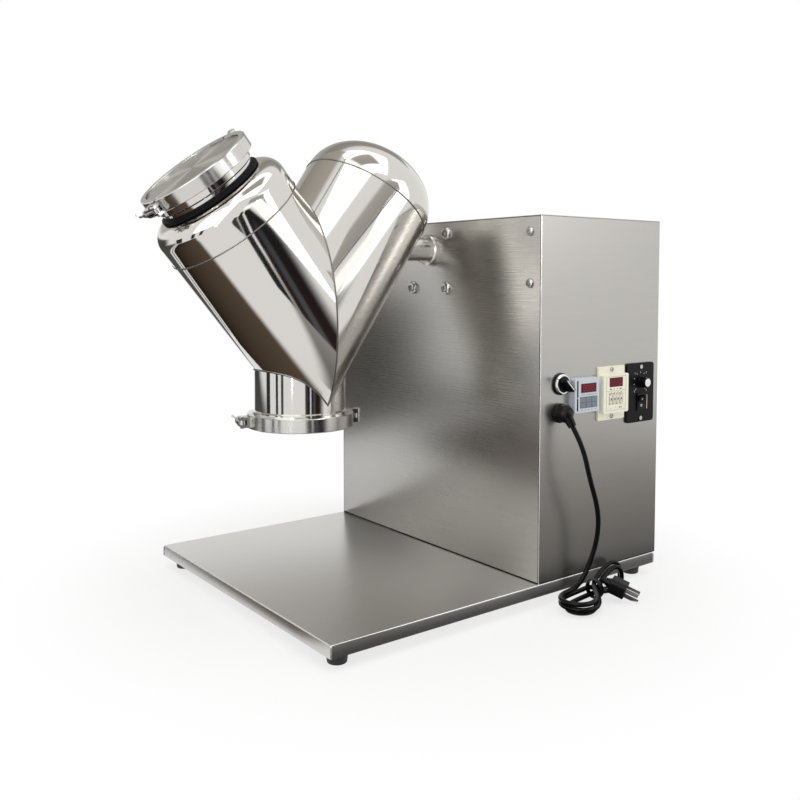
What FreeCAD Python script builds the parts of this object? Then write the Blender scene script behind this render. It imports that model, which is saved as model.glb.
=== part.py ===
# Bench-top V-shaped tumbling mixer: a polished twin-leg vessel on the shaft of a gear motor
# that is housed in a sheet cabinet on a low tray base. All sizes are in millimetres.
# +X runs from the vessel to the cabinet, the controls face -Y, +Z is up and the origin lies
# on the bench at the middle of the four feet.
import FreeCAD, Part
import math
import os

Vector = FreeCAD.Vector

# Base tray and feet
BASE_LENGTH = 604.0
BASE_DEPTH = 500.0
BASE_SKIRT = 17.0
BASE_SHEET = 2.0
BASE_BEND = 3.0
FOOT_HEIGHT = 17.0
FOOT_RADIUS = 14.0
FOOT_INSET = 25.0
FOOT_SCREW_RADIUS = 3.0

# Cabinet
CABINET_WIDTH = 261.0
CABINET_HEIGHT = 520.0
CABINET_INSET = 1.0
CABINET_OVERHANG = 5.0
PANEL_SHEET = 1.5
DRIVE_WALL = 2.0
PANEL_BEND = 1.2
FLANGE_DEPTH = 15.0
RETURN_DEPTH = 9.0
SEAM_GAP = 0.3
COVER_SCREW_RADIUS = 2.0
LOUVRE_LENGTH = 60.0
LOUVRE_HEIGHT = 4.0
LOUVRE_PITCH = 12.0
LOUVRE_COUNT = 6

# Drive
SHAFT_BELOW_TOP = 43.0
SHAFT_FORWARD = 4.0
SHAFT_RADIUS = 10.0
RUNNING_CLEARANCE = 0.05
HUB_RADIUS = 18.0
HUB_INTO_RING = 5.0
GRUB_SCREW_RADIUS = 3.0
RING_RADIUS = 24.0
RING_WIDTH = 9.0
GEARBOX_SIZE = 104.0
GEARBOX_LENGTH = 65.0
GEARBOX_BOLT_SPACING = 84.85
SHAFT_ABOVE_MOTOR_AXIS = 18.0
MOTOR_RADIUS = 45.0
MOTOR_LENGTH = 110.0
MOTOR_BELL = 14.0
COWL_LENGTH = 28.0
MOUNT_PLATE_THICKNESS = 5.0
MOUNT_PLATE_BELOW_SHAFT = 82.0
MOUNT_PLATE_ABOVE_SHAFT = 40.0
DRIVE_BOLT_RADIUS = 4.0
DRIVE_BOLT_HEAD_RADIUS = 10.0
PLATE_SCREW_RADIUS = 3.0
PLATE_SCREW_HEAD_RADIUS = 7.0
PLATE_SCREW_TO_CABINET_EDGE = 25.0
PLATE_END_BEYOND_SCREW = 11.0
PLATE_SCREW_UP = 21.0
PLATE_SCREW_DOWN = 52.0
CAPACITOR_X = 60.0
CAPACITOR_FROM_BACK = 90.0
TERMINALS_X = 90.0
TERMINALS_FROM_FRONT = 120.0

# Vessel
DOME_TO_CABINET = 31.8
LEG_ANGLE = 36.7
V_LEAN = 2.5
LEG_RADIUS = 99.5
VESSEL_WALL = 2.0
LEGS_CROSS_BELOW_SHAFT = 97.6
FILLER_LEG_LENGTH = 164.0
DOMED_LEG_LENGTH = 203.0
SHOULDER_STRAIGHT = 27.0
SHOULDER_KNUCKLE = 25.0
DOME_STRAIGHT = 5.0
DOME_HEIGHT = 76.0
OUTLET_RADIUS = 66.0
OUTLET_PIPE_LENGTH = 140.0
OUTLET_FACE_BELOW_SHAFT = 248.0

# Clamped closures: one on the filler neck, one on the outlet stub
GASKET_THICKNESS = 2.0
FLANGE_RIM = 3.5
FLANGE_TAPER = 20.0
FLANGE_OVERHANG = 4.2
GROOVE_CLEARANCE = 0.4
LIP_CLEARANCE = 0.4
CLAMP_WALL = 4.4
FILLER_BORE = 66.5
FILLER_HUB_RADIUS = 73.2
FILLER_NECK_LENGTH = 32.0
NECK_FOOT_RADIUS = 76.4
FILLER_CLAMP_HEIGHT = 19.0
OUTLET_HUB_RADIUS = 68.0
OUTLET_CLAMP_HEIGHT = 20.0
COVER_RISE = 6.5
SPLIT_GAP = 3.0
BOLT_LINE_OUT = 9.5
EAR_BEYOND_BOLT = 4.0
EAR_THICKNESS = 9.0
EAR_HEIGHT = 15.0
BOLT_RADIUS = 3.0
BOLT_LENGTH = 36.0
BOLT_SLOT = 7.0
EYE_RADIUS = 5.0
PIN_RADIUS = 2.0
NUT_RADIUS = 5.5
NUT_LENGTH = 8.0
NUT_GAP = 1.0
WING_SPAN = 11.5
WING_RISE = 13.0
WING_THICKNESS = 3.4
FILLER_BOLT_ANGLE = -15.0
OUTLET_BOLT_ANGLE = 15.0

# Front panel fittings: a row that shares the panel's spare width; heights are from the tray's top
SELECTOR_SHARE = 0.46
METER_SHARE = 0.06
TIMER_SHARE = 0.126
SPEED_SHARE = 0.103
SELECTOR_Z = 282.0
SELECTOR_RADIUS = 14.75
SELECTOR_BEZEL = 7.0
SELECTOR_HANDLE_OUT = 12.0
SELECTOR_GRIP = 12.0
SELECTOR_REST_ANGLE = 135.0
CONNECTOR_LEFT = 3.5
CONNECTOR_Z = 241.0
CONNECTOR_RADIUS = 14.0
CONNECTOR_OUT = 20.0
METER_Z = 263.8
METER_WIDTH = 52.0
METER_HEIGHT = 49.5
METER_FACE_RIGHT = 3.5
METER_OUT = 11.0
METER_WINDOW_UP = 10.3
METER_WINDOW_WIDTH = 33.0
METER_WINDOW_HEIGHT = 13.0
METER_KEYS_DOWN = 10.3
METER_KEYS_WIDTH = 37.0
METER_KEYS_HEIGHT = 16.5
WINDOW_DEPTH = 1.2
TIMER_Z = 261.5
TIMER_WIDTH = 59.5
TIMER_HEIGHT = 80.0
TIMER_FLANGE = 3.0
TIMER_BODY_WIDTH = 56.0
TIMER_BODY_HEIGHT = 57.5
TIMER_OUT = 12.0
TIMER_WINDOW_UP = 16.8
TIMER_WINDOW_WIDTH = 30.0
TIMER_WINDOW_HEIGHT = 13.5
THUMBWHEEL_COUNT = 4
THUMBWHEEL_PITCH = 7.5
THUMBWHEEL_RADIUS = 8.0
THUMBWHEEL_THICKNESS = 4.2
THUMBWHEEL_PROUD = 0.9
THUMBWHEELS_DOWN = 7.9
AXLE_RADIUS = 1.2
SPEED_Z = 257.0
SPEED_WIDTH = 64.0
SPEED_HEIGHT = 91.0
SPEED_PLATE = 3.0
SPEED_CORNER = 5.0
KNOB_UP = 16.0
KNOB_RADIUS = 9.0
KNOB_OUT = 14.0
KNOB_SPINDLE = 3.0
KNOB_FLUTES = 12
ROCKER_DOWN = 14.5
ROCKER_WIDTH = 13.5
ROCKER_HEIGHT = 21.0
ROCKER_TILT = 11.0
ROCKER_PIN = 0.8
PANEL_SCREW_RADIUS = 1.75
PANEL_SCREW_HEAD_RADIUS = 3.2
HOUSING_DEPTH = 45.0

# Mains lead, its hank on the bench and its plug
LEAD_RADIUS = 3.5
ELBOW_LENGTH = 20.0
LEAD_EXIT_X = 0.25
LEAD_EXIT_Y = -0.42
LEAD_EXIT_Z = -0.87
LEAD_FIRST_RUN = 30.0
LEAD_POINTS = (
    (104.0, -290.0, 183.0), (119.5, -290.0, 146.5), (130.0, -285.0, 116.0), (131.0, -280.0, 87.0),
    (126.0, -275.0, 62.0), (119.0, -270.0, 40.0), (114.0, -269.0, 20.0),
)
HANK_LIFT = 0.5
HANK_LEFT_LOBE = (
    (52.0, -299.0, 6.0, 5.0), (60.0, -297.0, 19.0, 9.0), (83.0, -290.0, 29.0, 12.0),
    (112.0, -280.0, 20.0, 14.0),
)
HANK_WAIST = (138.0, -272.0, 12.5, 15.0)
HANK_RIGHT_LOBE = (
    (158.0, -271.0, 15.5, 19.0), (182.0, -272.0, 17.0, 23.0), (202.0, -274.0, 12.0, 17.0),
    (209.0, -275.0, 5.0, 9.0),
)
HANK_TIE_WIDTH = 8.0
PLUG_X = 157.9
PLUG_Y = -298.9
PLUG_Z = 20.9
PLUG_YAW = -63.0
PLUG_PITCH = 19.0
PLUG_LENGTH = 23.0
PLUG_WIDTH = 27.0
PLUG_HEIGHT = 22.0
PLUG_RIBS = 4
PLUG_RIB_PITCH = 2.5

# Levels and planes that follow from the sizes above
BASE_TOP = FOOT_HEIGHT + BASE_SKIRT
CABINET_RIGHT = BASE_LENGTH / 2 + CABINET_OVERHANG
CABINET_LEFT = CABINET_RIGHT - CABINET_WIDTH
CABINET_FRONT = -BASE_DEPTH / 2 + CABINET_INSET
CABINET_BACK = BASE_DEPTH / 2 - CABINET_INSET
CABINET_TOP = BASE_TOP + CABINET_HEIGHT
WALL_TOP = CABINET_TOP - PANEL_SHEET
SHAFT_Y = -SHAFT_FORWARD
SHAFT_Z = CABINET_TOP - SHAFT_BELOW_TOP
DOME_TILT = math.radians(LEG_ANGLE - V_LEAN)
DOME_REACH = (DOMED_LEG_LENGTH + DOME_STRAIGHT) * math.sin(DOME_TILT) + math.hypot(
    LEG_RADIUS * math.cos(DOME_TILT), DOME_HEIGHT * math.sin(DOME_TILT))
VESSEL_X = CABINET_LEFT - DOME_TO_CABINET - DOME_REACH
MOTOR_AXIS_Z = SHAFT_Z - SHAFT_ABOVE_MOTOR_AXIS
PLATE_SCREW_FROM_SHAFT = (CABINET_BACK - CABINET_FRONT) / 2 - PLATE_SCREW_TO_CABINET_EDGE
MOUNT_PLATE_DEPTH = 2 * (PLATE_SCREW_FROM_SHAFT + PLATE_END_BEYOND_SCREW)
GEARBOX_FACE = CABINET_LEFT + DRIVE_WALL + MOUNT_PLATE_THICKNESS
LEGS_CROSS = Vector(VESSEL_X, SHAFT_Y, SHAFT_Z - LEGS_CROSS_BELOW_SHAFT)
SHOULDER_TOP = FILLER_LEG_LENGTH + SHOULDER_STRAIGHT + SHOULDER_KNUCKLE
FILLER_FACE = SHOULDER_TOP + FILLER_NECK_LENGTH
BOLT_HALF_SPACING = GEARBOX_BOLT_SPACING / 2
ROW_SPARE = CABINET_WIDTH - 2 * SELECTOR_RADIUS - METER_WIDTH - TIMER_WIDTH - SPEED_WIDTH
SELECTOR_X = SELECTOR_SHARE * ROW_SPARE + SELECTOR_RADIUS
METER_X = SELECTOR_X + SELECTOR_RADIUS + METER_SHARE * ROW_SPARE + METER_WIDTH / 2
TIMER_X = METER_X + METER_WIDTH / 2 + TIMER_SHARE * ROW_SPARE + TIMER_WIDTH / 2
SPEED_X = TIMER_X + TIMER_WIDTH / 2 + SPEED_SHARE * ROW_SPARE + SPEED_WIDTH / 2
CONNECTOR_X = SELECTOR_X - CONNECTOR_LEFT
METER_FACE_X = METER_X + METER_FACE_RIGHT


def box(x0, x1, y0, y1, z0, z1):
    """Block between two corners."""
    return Part.makeBox(x1 - x0, y1 - y0, z1 - z0, Vector(x0, y0, z0))


def rod(radius, start, direction, length):
    """Round bar from a start point."""
    return Part.makeCylinder(radius, length, start, direction)


def turned(outline):
    """Solid of revolution about Z. Each entry is a corner (r, z), or a triple whose first two
    are an arc's middle point and whose last is its end point."""
    start = Vector(outline[0][0], 0, outline[0][1])
    here = start
    edges = []
    for entry in outline[1:] + [outline[0]]:
        if len(entry) == 2:
            there = Vector(entry[0], 0, entry[1])
            edges.append(Part.LineSegment(here, there).toShape())
        else:
            middle = Vector(entry[0], 0, entry[1])
            there = Vector(entry[2][0], 0, entry[2][1])
            edges.append(Part.Arc(here, middle, there).toShape())
        here = there
    face = Part.Face(Part.Wire(edges))
    return face.revolve(Vector(0, 0, 0), Vector(0, 0, 1), 360)


def quarter(centre, radius, angle):
    """Point on a circle in the (r, z) plane, for the middle of an arc."""
    turn = math.radians(angle)
    return centre[0] + radius * math.cos(turn), centre[1] + radius * math.sin(turn)


def rounded(shape, radius, axis):
    """Round the edges of a block that run along one axis."""
    picked = []
    for edge in shape.Edges:
        run = edge.Vertexes[-1].Point - edge.Vertexes[0].Point
        if run.Length > 1e-6 and abs(run.normalize().dot(axis)) > 0.999:
            picked.append(edge)
    return shape.makeFillet(radius, picked)


def group(shapes):
    """Several separate solids in one node."""
    return Part.makeCompound(shapes)


def fused(shapes):
    """One solid from several that touch or overlap."""
    whole = shapes[0].multiFuse(shapes[1:])
    return whole.removeSplitter()


# Base tray and feet

def foot_places():
    """Centres of the four feet on the bench."""
    reach_x = BASE_LENGTH / 2 - FOOT_INSET
    reach_y = BASE_DEPTH / 2 - FOOT_INSET
    return [Vector(x, y, 0) for x in (-reach_x, reach_x) for y in (-reach_y, reach_y)]


def base_tray():
    """Tray of folded sheet: a top plate with rounded edges, four skirts and a pad over each foot."""
    half_x = BASE_LENGTH / 2
    half_y = BASE_DEPTH / 2
    block = box(-half_x, half_x, -half_y, half_y, FOOT_HEIGHT, BASE_TOP)
    block = block.makeFillet(BASE_BEND, [e for e in block.Edges if e.BoundBox.ZMin > BASE_TOP - 0.01])
    inner_x = half_x - BASE_SHEET
    inner_y = half_y - BASE_SHEET
    under = BASE_TOP - BASE_BEND
    plate = block.common(box(-half_x, half_x, -half_y, half_y, under, BASE_TOP))
    pieces = [
        box(-half_x, half_x, -half_y, -inner_y, FOOT_HEIGHT, under),
        box(-half_x, half_x, inner_y, half_y, FOOT_HEIGHT, under),
        box(-half_x, -inner_x, -inner_y, inner_y, FOOT_HEIGHT, under),
        box(inner_x, half_x, -inner_y, inner_y, FOOT_HEIGHT, under),
    ]
    for place in foot_places():
        pad = rod(FOOT_RADIUS + 3, place + Vector(0, 0, FOOT_HEIGHT), Vector(0, 0, 1), under - FOOT_HEIGHT)
        hole = rod(FOOT_SCREW_RADIUS + RUNNING_CLEARANCE, place, Vector(0, 0, 1), under)
        pieces.append(pad.cut(hole))
    return group([plate] + pieces)


def foot_seat_depth():
    """Depth of the recess that hides a foot's screw head."""
    return FOOT_HEIGHT / 2


def rubber_feet():
    """Tapered rubber feet, recessed underneath for their screws."""
    recess = FOOT_SCREW_RADIUS * 2 + 1
    depth = foot_seat_depth()
    feet = []
    for place in foot_places():
        foot = turned([
            (FOOT_SCREW_RADIUS + RUNNING_CLEARANCE, FOOT_HEIGHT),
            (FOOT_RADIUS, FOOT_HEIGHT),
            (FOOT_RADIUS, FOOT_HEIGHT - 3),
            (FOOT_RADIUS - 1.5, 1.0),
            (FOOT_RADIUS - 2.5, 0),
            (recess, 0),
            (recess, depth),
            (FOOT_SCREW_RADIUS + RUNNING_CLEARANCE, depth),
        ])
        foot.translate(place)
        feet.append(foot)
    return group(feet)


def foot_screws():
    """Pan-head screws that hold the feet to the tray."""
    screws = []
    depth = foot_seat_depth()
    for place in foot_places():
        head = rod(FOOT_SCREW_RADIUS * 2, place + Vector(0, 0, depth - 4), Vector(0, 0, 1), 4)
        shank = rod(FOOT_SCREW_RADIUS, place + Vector(0, 0, depth), Vector(0, 0, 1),
                    BASE_TOP - BASE_BEND - depth - 0.5)
        screws.append(fused([head, shank]))
    return group(screws)


# Cabinet sheets

def gearbox_bolt_places():
    """Places of the four gear motor bolts across the drive wall."""
    return [Vector(CABINET_LEFT, SHAFT_Y + dy, MOTOR_AXIS_Z + dz)
            for dy in (-BOLT_HALF_SPACING, BOLT_HALF_SPACING)
            for dz in (-BOLT_HALF_SPACING, BOLT_HALF_SPACING)]


def plate_screw_places():
    """Places of the four screws at the ends of the motor mounting plate."""
    return [Vector(CABINET_LEFT, SHAFT_Y + dy, SHAFT_Z + dz)
            for dy in (-PLATE_SCREW_FROM_SHAFT, PLATE_SCREW_FROM_SHAFT)
            for dz in (PLATE_SCREW_UP, -PLATE_SCREW_DOWN)]


def drive_holes(length):
    """Shaft, bolt and screw holes that the drive wall and the mounting plate share."""
    start_x = CABINET_LEFT - 1
    holes = [rod(HUB_RADIUS + 1, Vector(start_x, SHAFT_Y, SHAFT_Z), Vector(1, 0, 0), length)]
    for place in gearbox_bolt_places():
        holes.append(rod(DRIVE_BOLT_RADIUS + RUNNING_CLEARANCE, Vector(start_x, place.y, place.z),
                         Vector(1, 0, 0), length))
    for place in plate_screw_places():
        holes.append(rod(PLATE_SCREW_RADIUS + RUNNING_CLEARANCE, Vector(start_x, place.y, place.z),
                         Vector(1, 0, 0), length))
    return group(holes)


def drive_wall():
    """Left wall of the cabinet, which carries the gear motor, with a foot flange."""
    front = CABINET_FRONT + PANEL_SHEET + SEAM_GAP
    back = CABINET_BACK - PANEL_SHEET - SEAM_GAP
    wall = box(CABINET_LEFT, CABINET_LEFT + DRIVE_WALL, front, back, BASE_TOP, WALL_TOP)
    flange = box(CABINET_LEFT, CABINET_LEFT + FLANGE_DEPTH, front + FLANGE_DEPTH, back - FLANGE_DEPTH,
                 BASE_TOP, BASE_TOP + DRIVE_WALL)
    return fused([wall, flange]).cut(drive_holes(DRIVE_WALL + 2))


def service_cover():
    """Right side cover with two banks of louvre slots."""
    front = CABINET_FRONT + PANEL_SHEET + SEAM_GAP
    back = CABINET_BACK - PANEL_SHEET - SEAM_GAP
    cover = box(CABINET_RIGHT - PANEL_SHEET, CABINET_RIGHT, front, back, BASE_TOP, WALL_TOP)
    slots = []
    for middle_y in (front * 0.5, back * 0.5):
        for row in range(LOUVRE_COUNT):
            low = BASE_TOP + CABINET_HEIGHT * 0.62 + row * LOUVRE_PITCH
            slots.append(box(CABINET_RIGHT - PANEL_SHEET - 1, CABINET_RIGHT + 1,
                             middle_y - LOUVRE_LENGTH / 2, middle_y + LOUVRE_LENGTH / 2,
                             low, low + LOUVRE_HEIGHT))
    return cover.cut(group(slots))


def returned_panel(y_outer, inward):
    """Front or back sheet: full width, rounded upright edges and a return inside each wall."""
    y_inner = y_outer + inward * PANEL_SHEET
    y_flange = y_outer + inward * RETURN_DEPTH
    sheet = box(CABINET_LEFT, CABINET_RIGHT, min(y_outer, y_inner), max(y_outer, y_inner),
                BASE_TOP, WALL_TOP)
    outer_edges = []
    for edge in sheet.Edges:
        bounds = edge.BoundBox
        if bounds.ZLength > 1 and abs(bounds.YMin - y_outer) < 0.01:
            outer_edges.append(edge)
    sheet = sheet.makeFillet(PANEL_BEND, outer_edges)
    left = CABINET_LEFT + DRIVE_WALL + SEAM_GAP
    right = CABINET_RIGHT - PANEL_SHEET - SEAM_GAP
    low = BASE_TOP + DRIVE_WALL + SEAM_GAP
    returns = [
        box(left, left + PANEL_SHEET, min(y_inner, y_flange), max(y_inner, y_flange), low, WALL_TOP),
        box(right - PANEL_SHEET, right, min(y_inner, y_flange), max(y_inner, y_flange), low, WALL_TOP),
    ]
    return group([sheet] + returns)


def front_panel():
    """Front sheet with the cut-outs of the controls."""
    panel = returned_panel(CABINET_FRONT, 1)
    cuts = [
        panel_disc(SELECTOR_X, SELECTOR_Z, SELECTOR_RADIUS - 3.5, -3, 1),
        panel_disc(CONNECTOR_X, CONNECTOR_Z, CONNECTOR_RADIUS - 3.5, -3, 1),
        panel_block(METER_X, METER_Z, METER_WIDTH - 5, METER_HEIGHT - 3, -3, 1),
        panel_block(TIMER_X, TIMER_Z, TIMER_BODY_WIDTH - 6, TIMER_BODY_HEIGHT - 6, -3, 1),
        panel_block(SPEED_X, SPEED_Z, SPEED_WIDTH - 12, SPEED_HEIGHT - 18, -3, 1),
    ]
    for x, z in timer_screw_places() + speed_screw_places():
        cuts.append(panel_disc(x, z, PANEL_SCREW_RADIUS + RUNNING_CLEARANCE, -3, 1))
    return panel.cut(group(cuts))


def rear_panel():
    """Back sheet with a bank of louvre slots behind the motor."""
    panel = returned_panel(CABINET_BACK, -1)
    slots = []
    middle_x = (CABINET_LEFT + CABINET_RIGHT) / 2
    for row in range(LOUVRE_COUNT):
        low = BASE_TOP + CABINET_HEIGHT * 0.2 + row * LOUVRE_PITCH
        slots.append(box(middle_x - LOUVRE_LENGTH, middle_x + LOUVRE_LENGTH,
                         CABINET_BACK - PANEL_SHEET - 1, CABINET_BACK + 1, low, low + LOUVRE_HEIGHT))
    return panel.cut(group(slots))


def top_cover():
    """Flat top sheet that closes the cabinet."""
    sheet = box(CABINET_LEFT, CABINET_RIGHT, CABINET_FRONT, CABINET_BACK, WALL_TOP, CABINET_TOP)
    return rounded(sheet, PANEL_BEND, Vector(0, 0, 1))


def cover_screws():
    """Pan-head screws round the service cover and the rear panel."""
    screws = []
    heights = [BASE_TOP + CABINET_HEIGHT * share for share in (0.04, 0.5, 0.96)]
    head = 1.8
    reach = PANEL_SHEET * 2 + SEAM_GAP
    for z in heights:
        for y in (CABINET_FRONT + RETURN_DEPTH / 2 + 1.5, CABINET_BACK - RETURN_DEPTH / 2 - 1.5):
            start = Vector(CABINET_RIGHT + head, y, z)
            screws.append(cover_screw(start, Vector(-1, 0, 0), head, reach))
    return group(screws)


def cover_screw(start, direction, head, reach):
    """One cover screw from the outside of its head."""
    cap = rod(COVER_SCREW_RADIUS * 2, start, direction, head)
    shank = rod(COVER_SCREW_RADIUS, start, direction, head + reach)
    return fused([cap, shank])


def with_cover_screw_holes(sheet):
    """Clear the cover screws out of a sheet that they pass through."""
    holes = []
    for screw in cover_screws().Solids:
        bounds = screw.BoundBox
        start = Vector(CABINET_RIGHT + 3, bounds.Center.y, bounds.Center.z)
        holes.append(rod(COVER_SCREW_RADIUS + RUNNING_CLEARANCE, start, Vector(-1, 0, 0), 12))
    return sheet.cut(group(holes))


# Drive

def wall_ring():
    """Turned ring on the drive wall round the vessel's hub."""
    bore = HUB_RADIUS + RUNNING_CLEARANCE
    ring = turned([
        (bore, 0), (RING_RADIUS, 0), (RING_RADIUS, RING_WIDTH - 2),
        (RING_RADIUS - 2, RING_WIDTH), (bore, RING_WIDTH),
    ])
    ring.rotate(Vector(0, 0, 0), Vector(0, 1, 0), -90)
    ring.translate(Vector(CABINET_LEFT, SHAFT_Y, SHAFT_Z))
    return ring


def mount_plate():
    """Thick plate behind the drive wall that spreads the gear motor's load."""
    back = CABINET_LEFT + DRIVE_WALL
    plate = box(back, back + MOUNT_PLATE_THICKNESS,
                SHAFT_Y - MOUNT_PLATE_DEPTH / 2, SHAFT_Y + MOUNT_PLATE_DEPTH / 2,
                SHAFT_Z - MOUNT_PLATE_BELOW_SHAFT, SHAFT_Z + MOUNT_PLATE_ABOVE_SHAFT)
    return plate.cut(drive_holes(DRIVE_WALL + MOUNT_PLATE_THICKNESS + 2))


def gearbox():
    """Square gear head with its output above the motor axis."""
    half = GEARBOX_SIZE / 2
    body = box(GEARBOX_FACE, GEARBOX_FACE + GEARBOX_LENGTH, SHAFT_Y - half, SHAFT_Y + half,
               MOTOR_AXIS_Z - half, MOTOR_AXIS_Z + half)
    body = rounded(body, 8.0, Vector(1, 0, 0))
    holes = [rod(SHAFT_RADIUS + RUNNING_CLEARANCE, Vector(GEARBOX_FACE - 1, SHAFT_Y, SHAFT_Z),
                 Vector(1, 0, 0), GEARBOX_LENGTH * 0.75)]
    for place in gearbox_bolt_places():
        holes.append(rod(DRIVE_BOLT_RADIUS + RUNNING_CLEARANCE,
                         Vector(GEARBOX_FACE - 1, place.y, place.z), Vector(1, 0, 0), 22))
    return body.cut(group(holes))


def motor_body():
    """Motor frame with a cast bell at each end."""
    start = GEARBOX_FACE + GEARBOX_LENGTH
    centre = Vector(start, SHAFT_Y, MOTOR_AXIS_Z)
    axis = Vector(1, 0, 0)
    stack = rod(MOTOR_RADIUS, centre, axis, MOTOR_LENGTH)
    first_bell = rod(MOTOR_RADIUS + 2, centre, axis, MOTOR_BELL)
    last_bell = rod(MOTOR_RADIUS + 2, centre + axis * (MOTOR_LENGTH - MOTOR_BELL), axis, MOTOR_BELL)
    return fused([stack, first_bell, last_bell])


def fan_cowl():
    """Pressed cowl over the motor's fan, with a ring of slots."""
    start = GEARBOX_FACE + GEARBOX_LENGTH + MOTOR_LENGTH
    cowl = turned([
        (0, COWL_LENGTH), (MOTOR_RADIUS - 4, COWL_LENGTH), (MOTOR_RADIUS + 1, COWL_LENGTH - 5),
        (MOTOR_RADIUS + 1, 0), (MOTOR_RADIUS - 0.5, 0), (MOTOR_RADIUS - 0.5, COWL_LENGTH - 6),
        (MOTOR_RADIUS - 5, COWL_LENGTH - 1.5), (0, COWL_LENGTH - 1.5),
    ])
    slots = []
    for step in range(8):
        slot = box(14, MOTOR_RADIUS - 10, -2.5, 2.5, COWL_LENGTH - 3, COWL_LENGTH + 1)
        slot.rotate(Vector(0, 0, 0), Vector(0, 0, 1), step * 45)
        slots.append(slot)
    cowl = cowl.cut(group(slots))
    cowl.rotate(Vector(0, 0, 0), Vector(0, 1, 0), 90)
    cowl.translate(Vector(start, SHAFT_Y, MOTOR_AXIS_Z))
    return cowl


def button_head_screw(head_radius, head_height, shank_radius, shank_length):
    """Domed screw with a hexagon socket; the head rises along +Z from its seat at zero."""
    rise = head_height * 0.8
    screw = turned([
        (0, head_height), (head_radius * 0.45, head_height),
        (head_radius * 0.84, head_height * 0.74, (head_radius, head_height - rise)),
        (head_radius, 0), (shank_radius, 0), (shank_radius, -shank_length), (0, -shank_length),
    ])
    corners = [Vector(head_radius * 0.4 * math.cos(math.radians(turn)),
                      head_radius * 0.4 * math.sin(math.radians(turn)), head_height * 0.35)
               for turn in range(0, 420, 60)]
    socket = Part.Face(Part.makePolygon(corners)).extrude(Vector(0, 0, head_height))
    return screw.cut(socket)


def on_drive_wall(screw, place):
    """Turn a screw so that its head lies outside the drive wall."""
    screw.rotate(Vector(0, 0, 0), Vector(0, 1, 0), -90)
    screw.translate(place)
    return screw


def gear_motor_bolts():
    """Four domed bolts through the wall and the plate into the gear head."""
    length = DRIVE_WALL + MOUNT_PLATE_THICKNESS + 18
    return group([on_drive_wall(button_head_screw(DRIVE_BOLT_HEAD_RADIUS, 6.5, DRIVE_BOLT_RADIUS, length), p)
                  for p in gearbox_bolt_places()])


def plate_screws():
    """Four domed screws at the ends of the mounting plate."""
    length = DRIVE_WALL + MOUNT_PLATE_THICKNESS + 2
    return group([on_drive_wall(button_head_screw(PLATE_SCREW_HEAD_RADIUS, 4.5, PLATE_SCREW_RADIUS, length), p)
                  for p in plate_screw_places()])


def output_shaft():
    """Gear head output shaft, which the vessel's hub is slid over and pinned to."""
    inner_end = GEARBOX_FACE + GEARBOX_LENGTH * 0.7
    outer_end = CABINET_LEFT - RING_WIDTH - 20
    return rod(SHAFT_RADIUS, Vector(outer_end, SHAFT_Y, SHAFT_Z), Vector(1, 0, 0), inner_end - outer_end)


def run_capacitor():
    """Motor run capacitor, standing on the tray."""
    start = Vector(CABINET_LEFT + CAPACITOR_X, CABINET_BACK - CAPACITOR_FROM_BACK, BASE_TOP)
    return rod(17.5, start, Vector(0, 0, 1), 62)


def terminal_block():
    """Row of screw terminals on the tray."""
    x0 = CABINET_LEFT + TERMINALS_X
    y0 = CABINET_FRONT + TERMINALS_FROM_FRONT
    block = box(x0, x0 + 84, y0, y0 + 22, BASE_TOP, BASE_TOP + 16)
    wells = [rod(2.6, Vector(x0 + 8 + 13.6 * step, y0 + 11, BASE_TOP + 8), Vector(0, 0, 1), 9)
             for step in range(6)]
    return block.cut(group(wells))


# Vessel

def on_leg(shape, side):
    """Carry a shape from the Z axis to a leg's axis: side -1 is the filler leg, 1 the domed leg."""
    shape.rotate(Vector(0, 0, 0), Vector(0, 1, 0), side * LEG_ANGLE - V_LEAN)
    shape.translate(LEGS_CROSS)
    return shape


def leg_bar(radius, side, start, end):
    """Solid round bar along a leg's axis."""
    return on_leg(rod(radius, Vector(0, 0, start), Vector(0, 0, 1), end - start), side)


def outlet_bore():
    """Passage of the outlet through the bottom of the legs."""
    start = LEGS_CROSS - Vector(0, 0, 3 * LEG_RADIUS)
    return rod(OUTLET_RADIUS - VESSEL_WALL, start, Vector(0, 0, 1), 3 * LEG_RADIUS)


def leg_side(side):
    """Block on one leg's side of the mirror plane, which leans with the vessel."""
    reach = 4 * LEG_RADIUS
    x_far = VESSEL_X + side * reach
    block = box(min(VESSEL_X, x_far), max(VESSEL_X, x_far), SHAFT_Y - reach, SHAFT_Y + reach,
                LEGS_CROSS.z - reach, LEGS_CROSS.z + reach)
    block.rotate(LEGS_CROSS, Vector(0, 1, 0), -V_LEAN)
    return block


def leg(side, length):
    """Rolled tube, mitred on the mirror plane and opened for the outlet."""
    low = -2.5 * LEG_RADIUS
    tube = leg_bar(LEG_RADIUS, side, low, length).cut(leg_bar(LEG_RADIUS - VESSEL_WALL, side, low - 1, length + 1))
    return tube.common(leg_side(side)).cut(outlet_bore())


def filler_leg():
    """Leg that ends in the filler mouth."""
    return leg(-1, FILLER_LEG_LENGTH)


def domed_leg():
    """Leg that ends in the dome, on the cabinet's side."""
    return leg(1, DOMED_LEG_LENGTH)


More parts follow.
